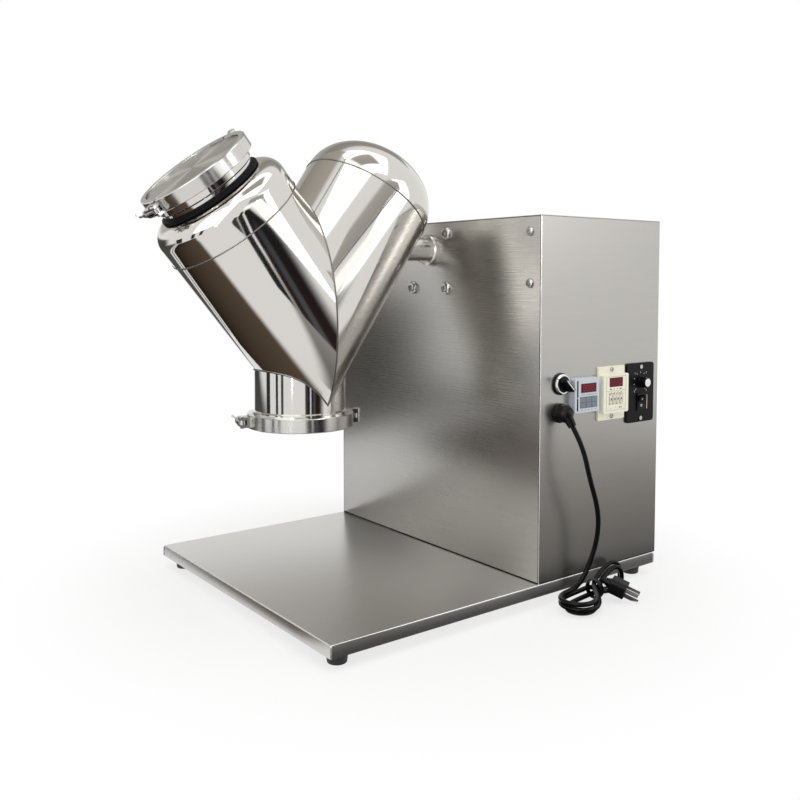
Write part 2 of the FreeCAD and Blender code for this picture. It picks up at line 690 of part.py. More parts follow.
def filler_shoulder():
    """Spun shoulder: short straight, a round knuckle and a flat with the neck's hole."""
    start = FILLER_LEG_LENGTH
    turn = start + SHOULDER_STRAIGHT
    centre = (LEG_RADIUS - SHOULDER_KNUCKLE, turn)
    inner_knuckle = SHOULDER_KNUCKLE - VESSEL_WALL
    shoulder = turned([
        (LEG_RADIUS - VESSEL_WALL, start), (LEG_RADIUS, start), (LEG_RADIUS, turn),
        quarter(centre, SHOULDER_KNUCKLE, 45) + ((centre[0], turn + SHOULDER_KNUCKLE),),
        (FILLER_BORE, SHOULDER_TOP), (FILLER_BORE, SHOULDER_TOP - VESSEL_WALL),
        (centre[0], SHOULDER_TOP - VESSEL_WALL),
        quarter(centre, inner_knuckle, 45) + ((LEG_RADIUS - VESSEL_WALL, turn),),
    ])
    return on_leg(shoulder, -1)


def dome_half(radius, height, base):
    """Solid half ellipsoid standing on a plane."""
    ellipse = Part.Ellipse(Vector(radius, 0, base), Vector(0, 0, base + height), Vector(0, 0, base))
    arc = Part.ArcOfEllipse(ellipse, 0, math.pi / 2).toShape()
    ends = sorted((v.Point for v in arc.Vertexes), key=lambda p: p.x)
    corner = Vector(0, 0, base)
    face = Part.Face(Part.Wire(Part.sortEdges([
        arc, Part.LineSegment(ends[0], corner).toShape(), Part.LineSegment(corner, ends[1]).toShape(),
    ])[0]))
    return face.revolve(Vector(0, 0, 0), Vector(0, 0, 1), 360)


def domed_end():
    """Pressed dome on a short straight flange."""
    start = DOMED_LEG_LENGTH
    wall = VESSEL_WALL
    return on_leg(dome_solid(LEG_RADIUS, DOME_HEIGHT, start).cut(
        dome_solid(LEG_RADIUS - wall, DOME_HEIGHT - wall, start - 1)), 1)


def dome_solid(radius, height, start):
    """Solid form of the dome with its straight flange from a start along the leg."""
    rim = DOMED_LEG_LENGTH + DOME_STRAIGHT
    return fused([rod(radius, Vector(0, 0, start), Vector(0, 0, 1), rim - start),
                  dome_half(radius, height, rim)])


def drive_hub():
    """Hub welded to the domed leg, bored for the output shaft and tapped for two grub screws."""
    start = VESSEL_X
    end = CABINET_LEFT - RING_WIDTH + HUB_INTO_RING
    bar = rod(HUB_RADIUS, Vector(start, SHAFT_Y, SHAFT_Z), Vector(1, 0, 0), end - start)
    body = bar.cut(on_leg(dome_solid(LEG_RADIUS, DOME_HEIGHT, -LEG_RADIUS), 1))
    bore_start = CABINET_LEFT - RING_WIDTH - 21
    bore = rod(SHAFT_RADIUS + RUNNING_CLEARANCE / 2, Vector(bore_start, SHAFT_Y, SHAFT_Z),
               Vector(1, 0, 0), end - bore_start + 1)
    body = body.cut(bore)
    for place, direction in grub_screw_places():
        body = body.cut(rod(GRUB_SCREW_RADIUS + RUNNING_CLEARANCE, place, direction, HUB_RADIUS))
    return body


def grub_screw_places():
    """Outer ends and directions of the grub screws, above and below the shaft."""
    x = CABINET_LEFT - RING_WIDTH - 10
    rise = HUB_RADIUS + 1.5
    return [(Vector(x, SHAFT_Y, SHAFT_Z + rise), Vector(0, 0, -1)),
            (Vector(x, SHAFT_Y, SHAFT_Z - rise), Vector(0, 0, 1))]


def grub_screws():
    """Two grub screws that lock the hub to the shaft."""
    return group([rod(GRUB_SCREW_RADIUS, place, direction, HUB_RADIUS + 1.5 - SHAFT_RADIUS - 0.1)
                  for place, direction in grub_screw_places()])


def outlet_stub():
    """Upright outlet pipe, scribed to the legs above and flanged below."""
    face_z = SHAFT_Z - OUTLET_FACE_BELOW_SHAFT
    bore = OUTLET_RADIUS - VESSEL_WALL
    rim = OUTLET_HUB_RADIUS + FLANGE_OVERHANG
    taper = FLANGE_OVERHANG * math.tan(math.radians(FLANGE_TAPER))
    flange_top = FLANGE_RIM - GASKET_THICKNESS / 2
    seat = GASKET_THICKNESS / 2
    pipe = turned([
        (bore, seat), (rim, seat), (rim, seat + flange_top), (OUTLET_HUB_RADIUS, seat + flange_top + taper),
        (OUTLET_HUB_RADIUS, OUTLET_CLAMP_HEIGHT / 2 + 3), (OUTLET_RADIUS, OUTLET_CLAMP_HEIGHT / 2 + 5),
        (OUTLET_RADIUS, OUTLET_PIPE_LENGTH), (bore, OUTLET_PIPE_LENGTH),
    ])
    pipe.translate(Vector(VESSEL_X, SHAFT_Y, face_z))
    for side in (-1, 1):
        pipe = pipe.cut(leg_bar(LEG_RADIUS, side, -2.5 * LEG_RADIUS, LEG_RADIUS).common(leg_side(side)))
    return max(pipe.Solids, key=lambda solid: solid.Volume)


# Clamped closures, built with their axis on Z and the joint face at zero, outwards up

def closure_rim(hub_radius):
    """Outer radius of the flanges that a clamp grips."""
    return hub_radius + FLANGE_OVERHANG


def filler_ferrule():
    """Turned neck on the shoulder: a foot ring, a groove, a hub and a tapered flange."""
    rim = closure_rim(FILLER_HUB_RADIUS)
    taper = FLANGE_OVERHANG * math.tan(math.radians(FLANGE_TAPER))
    seat = -GASKET_THICKNESS / 2
    back = seat - FLANGE_RIM + GASKET_THICKNESS / 2
    foot = -FILLER_NECK_LENGTH - GASKET_THICKNESS / 2
    ferrule = turned([
        (FILLER_BORE, seat), (rim, seat), (rim, back), (FILLER_HUB_RADIUS, back - taper),
        (FILLER_HUB_RADIUS, foot + 14), (FILLER_HUB_RADIUS - 3, foot + 12),
        (FILLER_HUB_RADIUS - 3, foot + 7), (NECK_FOOT_RADIUS, foot + 5),
        (NECK_FOOT_RADIUS, foot), (FILLER_BORE, foot),
    ])
    return on_filler(ferrule)


def on_filler(shape):
    """Carry a closure piece to the filler mouth."""
    shape.translate(Vector(0, 0, FILLER_FACE + GASKET_THICKNESS / 2))
    return on_leg(shape, -1)


def on_outlet(shape):
    """Carry a closure piece to the outlet, facing down."""
    shape.rotate(Vector(0, 0, 0), Vector(1, 0, 0), 180)
    shape.translate(Vector(VESSEL_X, SHAFT_Y, SHAFT_Z - OUTLET_FACE_BELOW_SHAFT))
    return shape


def closure_gasket(hub_radius, bore):
    """Flat ring between the flange and the cover."""
    half = GASKET_THICKNESS / 2
    rim = closure_rim(hub_radius) - 0.4
    return turned([(bore, -half), (rim, -half), (rim, half), (bore, half)])


def closure_cover(hub_radius):
    """Turned cover plate with a tapered rim that matches the flange."""
    seat = GASKET_THICKNESS / 2
    rim = closure_rim(hub_radius)
    taper = FLANGE_OVERHANG * math.tan(math.radians(FLANGE_TAPER))
    shoulder = seat + FLANGE_RIM - GASKET_THICKNESS / 2
    top = seat + COVER_RISE
    return turned([
        (0, seat), (rim, seat), (rim, shoulder), (hub_radius, shoulder + taper),
        (hub_radius, top - 0.6), (hub_radius - 0.6, top), (0, top),
    ])


def clamp_ring(hub_radius, height):
    """Full clamp ring with its tapered groove, before it is split."""
    rim = closure_rim(hub_radius) + GROOVE_CLEARANCE
    lip = hub_radius + LIP_CLEARANCE
    outside = rim + CLAMP_WALL
    slope = math.tan(math.radians(FLANGE_TAPER))
    mouth = FLANGE_RIM + (rim - lip) * slope + GROOVE_CLEARANCE
    half = height / 2
    return turned([
        (outside, -half + 1), (outside, half - 1), (outside - 1, half), (lip, half), (lip, mouth),
        (rim, FLANGE_RIM), (rim, -FLANGE_RIM), (lip, -mouth), (lip, -half), (outside - 1, -half),
    ])


def clamp_outside(hub_radius):
    """Outer radius of a clamp ring."""
    return closure_rim(hub_radius) + GROOVE_CLEARANCE + CLAMP_WALL


def bolt_radius_line(hub_radius):
    """Distance of the swing bolt's line from the closure's axis."""
    return clamp_outside(hub_radius) + BOLT_LINE_OUT


def clamp_half(hub_radius, height, near):
    """One half of a clamp. The split lies along X, with the swing bolt's ears at +X and the
    hinge at -X; the near half lies at -Y and carries the bolt's pin and the outer hinge lugs."""
    outside = clamp_outside(hub_radius)
    line = bolt_radius_line(hub_radius)
    reach = outside + 2
    half_gap = SPLIT_GAP / 2
    sign = -1 if near else 1
    keep = box(-reach, reach, min(sign * half_gap, sign * reach), max(sign * half_gap, sign * reach),
               -height, height)
    ring = clamp_ring(hub_radius, height).common(keep)
    inner = closure_rim(hub_radius) + GROOVE_CLEARANCE
    ear = box(inner + 1, line + EAR_BEYOND_BOLT, min(sign * half_gap, sign * (half_gap + EAR_THICKNESS)),
              max(sign * half_gap, sign * (half_gap + EAR_THICKNESS)), -EAR_HEIGHT / 2, EAR_HEIGHT / 2)
    ear = rounded(ear, 3.0, Vector(0, 1, 0))
    ear = ear.cut(rod(outside, Vector(0, 0, -height), Vector(0, 0, 1), 2 * height))
    lug_radius = EYE_RADIUS + 0.5
    lug_bar = rod(lug_radius, Vector(-line, 0, -height / 2), Vector(0, 0, 1), height)
    lug_web = box(-line, -inner - 1, sign * lug_radius * 0.2, sign * lug_radius, -height / 2, height / 2) \
        if sign > 0 else box(-line, -inner - 1, -lug_radius, -lug_radius * 0.2, -height / 2, height / 2)
    lug = fused([lug_bar, lug_web])
    middle = box(-line - lug_radius - 1, -outside + 1.2, -lug_radius - 1, lug_radius + 1,
                 -height / 6, height / 6)
    clearance = 0.3
    middle_wide = box(-line - lug_radius - 1, -outside + 1.2, -lug_radius - 1, lug_radius + 1,
                      -height / 6 - clearance, height / 6 + clearance)
    lug = lug.cut(middle_wide) if near else lug.common(middle)
    lug = lug.cut(box(-outside + 0.6, 0, -lug_radius - 1, lug_radius + 1, -height, height))
    slot_half = BOLT_SLOT / 2
    slot = box(line, line + EAR_BEYOND_BOLT + 1, -reach, reach, -slot_half, slot_half)
    slot_root = rod(slot_half, Vector(line, -reach, 0), Vector(0, 1, 0), 2 * reach)
    eye_room = box(line - EYE_RADIUS - 1, line + EAR_BEYOND_BOLT + 1, -reach, reach, -slot_half, slot_half)
    ear = ear.cut(eye_room if near else fused([slot, slot_root]))
    if near:
        ear = ear.cut(rod(PIN_RADIUS + RUNNING_CLEARANCE, bolt_pivot(hub_radius) - Vector(0, 0, height),
                          Vector(0, 0, 1), 2 * height))
    hinge_hole = rod(PIN_RADIUS + RUNNING_CLEARANCE, Vector(-line, 0, -height), Vector(0, 0, 1), 2 * height)
    return group(fused([ring, lug]).cut(hinge_hole).Solids + ear.Solids)


def bolt_pivot(hub_radius):
    """Centre of the swing bolt's eye."""
    return Vector(bolt_radius_line(hub_radius), -SPLIT_GAP / 2 - EAR_THICKNESS / 2, 0)


def clamp_pins(hub_radius, height):
    """Hinge pin and swing bolt pin, each headed at both ends."""
    line = bolt_radius_line(hub_radius)
    hinge = rod(PIN_RADIUS, Vector(-line, 0, -height / 2 - 1), Vector(0, 0, 1), height + 2)
    hinge_heads = [rod(PIN_RADIUS + 1.5, Vector(-line, 0, z), Vector(0, 0, 1), 1)
                   for z in (-height / 2 - 1, height / 2)]
    pivot = bolt_pivot(hub_radius)
    half = EAR_HEIGHT / 2
    pin = rod(PIN_RADIUS, pivot - Vector(0, 0, half + 1), Vector(0, 0, 1), EAR_HEIGHT + 2)
    pin_heads = [rod(PIN_RADIUS + 1, pivot + Vector(0, 0, z), Vector(0, 0, 1), 1)
                 for z in (-half - 1, half)]
    return group([fused([hinge] + hinge_heads), fused([pin] + pin_heads)])


def swing_bolt(hub_radius):
    """Eye bolt that swings out of the far ear's slot."""
    pivot = bolt_pivot(hub_radius)
    thickness = BOLT_SLOT - 0.6
    eye = rod(EYE_RADIUS, pivot - Vector(0, 0, thickness / 2), Vector(0, 0, 1), thickness)
    shank = rod(BOLT_RADIUS, pivot, Vector(0, 1, 0), BOLT_LENGTH)
    bolt = fused([eye, shank])
    return bolt.cut(rod(PIN_RADIUS + RUNNING_CLEARANCE, pivot - Vector(0, 0, EAR_HEIGHT),
                        Vector(0, 0, 1), 2 * EAR_HEIGHT))


def wing_nut(hub_radius):
    """Wing nut against the far ear."""
    seat = SPLIT_GAP / 2 + EAR_THICKNESS + NUT_GAP
    line = bolt_radius_line(hub_radius)
    barrel = turned([
        (BOLT_RADIUS + RUNNING_CLEARANCE, 0), (NUT_RADIUS + 1, 0), (NUT_RADIUS - 0.8, NUT_LENGTH),
        (BOLT_RADIUS + RUNNING_CLEARANCE, NUT_LENGTH),
    ])
    pieces = [barrel]
    half = WING_THICKNESS / 2
    for side in (-1, 1):
        corners = [(NUT_RADIUS - 1.5, 1.5), (NUT_RADIUS + 2, 2.5), (WING_SPAN, WING_RISE - 3),
                   (WING_SPAN - 1, WING_RISE), (WING_SPAN - 3.5, WING_RISE - 1), (NUT_RADIUS - 1.5, NUT_LENGTH - 0.5)]
        outline = [Vector(side * r, -half, z) for r, z in corners]
        wing = Part.Face(Part.makePolygon(outline + [outline[0]])).extrude(Vector(0, 2 * half, 0))
        pieces.append(wing)
    nut = fused(pieces)
    nut.rotate(Vector(0, 0, 0), Vector(0, 0, 1), 35)
    nut.rotate(Vector(0, 0, 0), Vector(1, 0, 0), -90)
    nut.translate(Vector(line, seat, 0))
    return nut


def filler_turned(shape):
    """Turn a clamp piece to the filler's bolt place; its bolt then points away from the controls."""
    shape.rotate(Vector(0, 0, 0), Vector(1, 0, 0), 180)
    shape.rotate(Vector(0, 0, 0), Vector(0, 0, 1), 180 - FILLER_BOLT_ANGLE)
    return on_filler(shape)


def outlet_turned(shape):
    """Turn a clamp piece to the outlet's bolt place, away from the cabinet."""
    shape.rotate(Vector(0, 0, 0), Vector(1, 0, 0), 180)
    shape.rotate(Vector(0, 0, 0), Vector(0, 0, 1), 180 - OUTLET_BOLT_ANGLE)
    shape.translate(Vector(VESSEL_X, SHAFT_Y, SHAFT_Z - OUTLET_FACE_BELOW_SHAFT))
    return shape


# Front panel fittings

def panel_point(x, z, out):
    """Point that stands out from the front panel."""
    return Vector(CABINET_LEFT + x, CABINET_FRONT - out, BASE_TOP + z)


def panel_disc(x, z, radius, start, end):
    """Round bar square to the front panel, from one distance out to another."""
    return rod(radius, panel_point(x, z, start), Vector(0, -1, 0), end - start)


def panel_block(x, z, width, height, start, end):
    """Block square to the front panel."""
    low = panel_point(x - width / 2, z - height / 2, end)
    return Part.makeBox(width, end - start, height, low)


def rounded_panel_block(x, z, width, height, start, end, corner):
    """Panel block with rounded corners."""
    return rounded(panel_block(x, z, width, height, start, end), corner, Vector(0, 1, 0))


def panel_turned(outline, x, z, out):
    """Turned piece whose axis stands square to the front panel."""
    piece = turned(outline)
    piece.rotate(Vector(0, 0, 0), Vector(1, 0, 0), 90)
    piece.translate(panel_point(x, z, out))
    return piece


def selector_bezel():
    """Bright bezel on a barrel that passes through the panel."""
    bore = SELECTOR_RADIUS - 5.0
    barrel = SELECTOR_RADIUS - 3.6
    return panel_turned([
        (bore, -18), (barrel, -18), (barrel, 0), (SELECTOR_RADIUS, 0),
        (SELECTOR_RADIUS, SELECTOR_BEZEL - 1.5), (SELECTOR_RADIUS - 1.5, SELECTOR_BEZEL),
        (bore, SELECTOR_BEZEL),
    ], SELECTOR_X, SELECTOR_Z, 0)


def selector_handle():
    """Turning handle: a round core in the bezel and a tapered grip in front of it."""
    core_radius = SELECTOR_RADIUS - 5.0 - RUNNING_CLEARANCE
    grip_start = SELECTOR_BEZEL + 0.5
    core = Part.makeCylinder(core_radius, 16 + grip_start, Vector(0, 0, -16))
    root = [Vector(x, y, grip_start - 0.5) for x, y in grip_corners(3.6)]
    ridge = [Vector(x, y, grip_start + SELECTOR_HANDLE_OUT) for x, y in grip_corners(2.4)]
    grip = Part.makeLoft([Part.makePolygon(root + [root[0]]), Part.makePolygon(ridge + [ridge[0]])], True)
    grip = grip.cut(box(-20, 20, -20, 20, 0, grip_start).cut(core))
    handle = fused([core, grip])
    handle.rotate(Vector(0, 0, 0), Vector(0, 0, 1), SELECTOR_REST_ANGLE)
    handle.rotate(Vector(0, 0, 0), Vector(1, 0, 0), 90)
    handle.translate(panel_point(SELECTOR_X, SELECTOR_Z, 0))
    return handle


def grip_corners(half_width):
    """Outline of the selector's grip, long towards its pointer."""
    return [(-SELECTOR_GRIP, -half_width), (SELECTOR_GRIP - 3, -half_width), (SELECTOR_GRIP, 0),
            (SELECTOR_GRIP - 3, half_width), (-SELECTOR_GRIP, half_width)]


def cord_gland():
    """Round panel connector with a moulded elbow that points the lead downwards."""
    body = panel_turned([
        (0, -14), (CONNECTOR_RADIUS - 3.6, -14), (CONNECTOR_RADIUS - 3.6, 0), (CONNECTOR_RADIUS, 0),
        (CONNECTOR_RADIUS, 5), (CONNECTOR_RADIUS - 1.5, 6.5), (CONNECTOR_RADIUS - 1.5, CONNECTOR_OUT - 4),
        (CONNECTOR_RADIUS - 4.5, CONNECTOR_OUT), (0, CONNECTOR_OUT),
    ], CONNECTOR_X, CONNECTOR_Z, 0)
    start = elbow_start()
    direction = lead_direction()
    ball = Part.makeSphere(CONNECTOR_RADIUS - 4.5, start)
    sleeve = Part.makeCone(CONNECTOR_RADIUS - 5.5, LEAD_RADIUS + 2.2, ELBOW_LENGTH, start, direction)
    return fused([body, ball, sleeve])


def elbow_start():
    """Point inside the connector where its elbow begins."""
    return panel_point(CONNECTOR_X, CONNECTOR_Z, CONNECTOR_OUT - 6)


def lead_direction():
    """Direction in which the lead leaves the connector."""
    return Vector(LEAD_EXIT_X, LEAD_EXIT_Y, LEAD_EXIT_Z).normalize()


def lead_route():
    """Corner points of the hanging lead, from the connector's elbow down into the hank."""
    start = elbow_start() + lead_direction() * ELBOW_LENGTH
    return [start, start + lead_direction() * LEAD_FIRST_RUN] + [Vector(p) for p in LEAD_POINTS]


def mains_lead():
    """Round lead of straight runs joined by tangent arcs."""
    points = lead_route()
    edges = []
    here = points[0]
    for before, corner, after in zip(points, points[1:], points[2:]):
        run_in = (corner - before).normalize()
        run_out = (after - corner).normalize()
        turn = run_in.getAngle(run_out)
        setback = 0.45 * min((corner - before).Length, (after - corner).Length)
        radius = setback / math.tan(turn / 2)
        print("lead corner radius %.1f mm" % radius)
        first = corner - run_in * setback
        last = corner + run_out * setback
        inward = (run_out - run_in).normalize()
        middle = corner + inward * (radius / math.cos(turn / 2) - radius)
        edges.append(Part.LineSegment(here, first).toShape())
        edges.append(Part.Arc(first, middle, last).toShape())
        here = last
    edges.append(Part.LineSegment(here, points[-1]).toShape())
    spine = Part.Wire(edges)
    section = Part.Wire(Part.makeCircle(LEAD_RADIUS, points[0], (points[1] - points[0]).normalize()))
    lead = spine.makePipeShell([section], True, True)
    print("lead length %.1f mm, volume %.0f, section times length %.0f"
          % (spine.Length, lead.Volume, math.pi * LEAD_RADIUS ** 2 * spine.Length))
    return lead


def upright_ellipse(x, y, z, half_width, half_height):
    """Ellipse in a plane square to X."""
    if half_width >= half_height:
        major = Vector(x, y + half_width, z)
        minor = Vector(x, y, z + half_height)
    else:
        major = Vector(x, y, z + half_height)
        minor = Vector(x, y - half_width, z)
    return Part.Wire(Part.Ellipse(major, minor, Vector(x, y, z)).toShape())


def lead_hank():
    """Outer shape of the folded rest of the lead: two lobes and a tied waist."""
    sections = HANK_LEFT_LOBE + (HANK_WAIST,) + HANK_RIGHT_LOBE
    return Part.makeLoft([upright_ellipse(x, y, half_height + HANK_LIFT, half_width, half_height)
                          for x, y, half_width, half_height in sections], True, True)


def hank_tie():
    """Twist tie round the waist of the hank."""
    x, y, half_width, half_height = HANK_WAIST
    z = half_height + HANK_LIFT
    start = x - HANK_TIE_WIDTH / 2
    outer = Part.Face(upright_ellipse(start, y, z, half_width + 1.0, half_height + 0.4))
    inner = Part.Face(upright_ellipse(start, y, z, half_width - 0.8, half_height - 0.8))
    length = Vector(HANK_TIE_WIDTH, 0, 0)
    return outer.extrude(length).cut(inner.extrude(length))


def plug_placed(shape):
    """Carry a plug piece from the X axis to its place, leaning from the hank down to its pins."""
    shape.rotate(Vector(0, 0, 0), Vector(0, 1, 0), PLUG_PITCH)
    shape.rotate(Vector(0, 0, 0), Vector(0, 0, 1), PLUG_YAW)
    shape.translate(Vector(PLUG_X, PLUG_Y, PLUG_Z))
    return shape


def plug_body():
    """Moulded plug with a ribbed strain relief at its rear."""
    half_length = PLUG_LENGTH / 2
    half_width = PLUG_WIDTH / 2
    half_height = PLUG_HEIGHT / 2
    block = box(-half_length, half_length, -half_width, half_width, -half_height, half_height)
    block = rounded(block, 6.0, Vector(1, 0, 0))
    profile = [(0, 0), (7.5, 0)]
    for rib in range(PLUG_RIBS):
        radius = 7.5 - rib * 0.8
        low = 1 + rib * PLUG_RIB_PITCH
        high = low + PLUG_RIB_PITCH * 0.6
        profile += [(radius, low), (radius, high), (radius - 1.4, high), (radius - 1.4, low + PLUG_RIB_PITCH)]
    profile += [(0, 1 + PLUG_RIBS * PLUG_RIB_PITCH)]
    relief = turned(profile)
    relief.rotate(Vector(0, 0, 0), Vector(0, 1, 0), -90)
    relief.translate(Vector(-half_length, 0, 0))
    return plug_placed(fused([block, relief]))


def plug_pins():
    """Three flat pins: two side by side and a longer one for earth."""
    start = PLUG_LENGTH / 2
    pins = []
    for y, z, length in ((-6.35, 3, 18.5), (6.35, 3, 18.5), (0, -7, 20.5)):
        pins.append(box(start, start + length, y - 0.8, y + 0.8, z - 3.1, z + 3.1))
    return plug_placed(group(pins))


def panel_modules():
    """Rear cases of the meter, the timer and the speed controller, inside the cabinet."""
    cases = [
        panel_block(METER_X, METER_Z, METER_WIDTH - 6, METER_HEIGHT - 4, -HOUSING_DEPTH, 0),
        panel_block(TIMER_X, TIMER_Z, TIMER_BODY_WIDTH - 7, TIMER_BODY_HEIGHT - 7, -HOUSING_DEPTH, 0),
        panel_block(SPEED_X, SPEED_Z, SPEED_WIDTH - 13, SPEED_HEIGHT - 19, -HOUSING_DEPTH, 0),
    ]
    hole = panel_disc(SPEED_X, SPEED_Z + KNOB_UP, KNOB_SPINDLE + RUNNING_CLEARANCE, -16, 1)
    room = THUMBWHEEL_RADIUS + 0.6
    pocket = panel_block(TIMER_X, TIMER_Z - THUMBWHEELS_DOWN, THUMBWHEEL_PITCH * THUMBWHEEL_COUNT + 2, 2 * room,
                         wheel_axis_out() - room, 1)
    return group([case.cut(group([hole, pocket])) for case in cases])


def meter_case():
    """Meter case with a window recess and a keypad recess, both right of its middle."""
    case = rounded_panel_block(METER_X, METER_Z, METER_WIDTH, METER_HEIGHT, 0, METER_OUT, 3.0)
    window = panel_block(METER_FACE_X, METER_Z + METER_WINDOW_UP, METER_WINDOW_WIDTH + 0.4,
                         METER_WINDOW_HEIGHT + 0.4, METER_OUT - WINDOW_DEPTH, METER_OUT + 1)
    keypad = panel_block(METER_FACE_X, METER_Z - METER_KEYS_DOWN, METER_KEYS_WIDTH, METER_KEYS_HEIGHT,
                         METER_OUT - 0.6, METER_OUT + 1)
    return case.cut(group([window, keypad]))


def meter_window():
    """Tinted window of the meter."""
    return panel_block(METER_FACE_X, METER_Z + METER_WINDOW_UP, METER_WINDOW_WIDTH, METER_WINDOW_HEIGHT,
                       METER_OUT - WINDOW_DEPTH, METER_OUT - 0.2)


def wheel_x(index):
    """Place of a thumbwheel across the panel."""
    return TIMER_X + (index - (THUMBWHEEL_COUNT - 1) / 2) * THUMBWHEEL_PITCH


def wheel_axis_out():
    """Distance of the thumbwheels' axle from the panel."""
    return TIMER_OUT + THUMBWHEEL_PROUD - THUMBWHEEL_RADIUS


def timer_case():
    """Timer with a mounting flange, a window recess and four slots that share one axle."""
    flange = rounded_panel_block(TIMER_X, TIMER_Z, TIMER_WIDTH, TIMER_HEIGHT, 0, TIMER_FLANGE, 2.5)
    raised = rounded_panel_block(TIMER_X, TIMER_Z, TIMER_BODY_WIDTH, TIMER_BODY_HEIGHT, 0, TIMER_OUT, 2.5)
    case = fused([flange, raised])
    wheels_z = TIMER_Z - THUMBWHEELS_DOWN
    room = THUMBWHEEL_RADIUS + 0.3
    across = THUMBWHEEL_PITCH * THUMBWHEEL_COUNT + 2
    cuts = [
        panel_block(TIMER_X, TIMER_Z + TIMER_WINDOW_UP, TIMER_WINDOW_WIDTH + 0.4,
                    TIMER_WINDOW_HEIGHT + 0.4, TIMER_OUT - WINDOW_DEPTH, TIMER_OUT + 1),
        panel_block(TIMER_X, wheels_z, across, 2 * room + 1, TIMER_OUT - 2.0, TIMER_OUT + 1),
    ]
    for index in range(THUMBWHEEL_COUNT):
        cuts.append(panel_block(wheel_x(index), wheels_z, THUMBWHEEL_THICKNESS + 0.4, 2 * room,
                                wheel_axis_out() - room, TIMER_OUT + 1))
    for x, z in timer_screw_places():
        cuts.append(panel_disc(x, z, PANEL_SCREW_RADIUS + RUNNING_CLEARANCE, -1, TIMER_OUT))
    case = case.cut(group(cuts))
    axle_length = THUMBWHEEL_PITCH * THUMBWHEEL_COUNT
    start = panel_point(TIMER_X - axle_length / 2, wheels_z, wheel_axis_out())
    return fused([case, rod(AXLE_RADIUS, start, Vector(1, 0, 0), axle_length)])


def timer_window():
    """Tinted window of the timer."""
    return panel_block(TIMER_X, TIMER_Z + TIMER_WINDOW_UP, TIMER_WINDOW_WIDTH, TIMER_WINDOW_HEIGHT,
                       TIMER_OUT - WINDOW_DEPTH, TIMER_OUT - 0.2)


def thumbwheel(index):
    """Notched setting wheel on the timer's axle."""
    half = THUMBWHEEL_THICKNESS / 2
    wheel = Part.makeCylinder(THUMBWHEEL_RADIUS, THUMBWHEEL_THICKNESS, Vector(0, 0, -half))
    cuts = [Part.makeCylinder(AXLE_RADIUS + RUNNING_CLEARANCE, THUMBWHEEL_THICKNESS + 2, Vector(0, 0, -half - 1))]
    for notch in range(10):
        turn = math.radians(notch * 36 + 18)
        place = Vector(THUMBWHEEL_RADIUS * math.cos(turn), THUMBWHEEL_RADIUS * math.sin(turn), -half - 1)
        cuts.append(Part.makeCylinder(0.6, THUMBWHEEL_THICKNESS + 2, place))
    wheel = wheel.cut(group(cuts))
    wheel.rotate(Vector(0, 0, 0), Vector(0, 1, 0), 90)
    wheel.translate(panel_point(wheel_x(index), TIMER_Z - THUMBWHEELS_DOWN, wheel_axis_out()))
    return wheel


def timer_screw_places():
    """Places of the timer's two flange screws."""
    reach = TIMER_HEIGHT / 2 - 5
    return [(TIMER_X, TIMER_Z + reach), (TIMER_X, TIMER_Z - reach)]


def speed_screw_places():
    """Places of the speed plate's two screws."""
    reach = SPEED_HEIGHT / 2 - 6
    return [(SPEED_X, SPEED_Z + reach), (SPEED_X, SPEED_Z - reach)]


def panel_screws():
    """Small pan-head screws of the timer and of the speed plate."""
    screws = []
    seats = [(x, z, TIMER_FLANGE) for x, z in timer_screw_places()]
    seats += [(x, z, SPEED_PLATE) for x, z in speed_screw_places()]
    for x, z, seat in seats:
        head = panel_disc(x, z, PANEL_SCREW_HEAD_RADIUS, seat, seat + 1.8)
        shank = panel_disc(x, z, PANEL_SCREW_RADIUS, -5, seat)
        screws.append(fused([head, shank]))
    return group(screws)


def speed_plate():
    """Rounded plate that carries the speed knob and the rocker switch."""
    plate = rounded_panel_block(SPEED_X, SPEED_Z, SPEED_WIDTH, SPEED_HEIGHT, 0, SPEED_PLATE, SPEED_CORNER)
    cuts = [
        panel_disc(SPEED_X, SPEED_Z + KNOB_UP, KNOB_SPINDLE + RUNNING_CLEARANCE, -1, SPEED_PLATE + 1),
        panel_block(SPEED_X, SPEED_Z - ROCKER_DOWN, ROCKER_WIDTH + 0.4, ROCKER_HEIGHT, -1, SPEED_PLATE + 1),
    ]
    for x, z in speed_screw_places():
        cuts.append(panel_disc(x, z, PANEL_SCREW_RADIUS + RUNNING_CLEARANCE, -1, SPEED_PLATE + 1))
    return plate.cut(group(cuts))


def speed_knob():
    """Fluted knob with a spindle that passes through the plate."""
    foot = SPEED_PLATE + 0.5
    end = SPEED_PLATE + KNOB_OUT
    knob = turned([
        (0, -14), (KNOB_SPINDLE, -14), (KNOB_SPINDLE, foot), (KNOB_RADIUS, foot), (KNOB_RADIUS, foot + 2.5),
        (KNOB_RADIUS - 1.0, foot + 3.5), (KNOB_RADIUS - 1.5, end - 1), (KNOB_RADIUS - 2.5, end), (0, end),
    ])
    flutes = []
    for step in range(KNOB_FLUTES):
        turn = math.radians((step + 0.5) * 360 / KNOB_FLUTES)
        place = Vector((KNOB_RADIUS + 0.2) * math.cos(turn), (KNOB_RADIUS + 0.2) * math.sin(turn), foot + 3.1)
        flutes.append(Part.makeCylinder(1.95, end, place))
    knob = knob.cut(group(flutes))
    knob.rotate(Vector(0, 0, 0), Vector(1, 0, 0), 90)
    knob.translate(panel_point(SPEED_X, SPEED_Z + KNOB_UP, 0))
    return knob


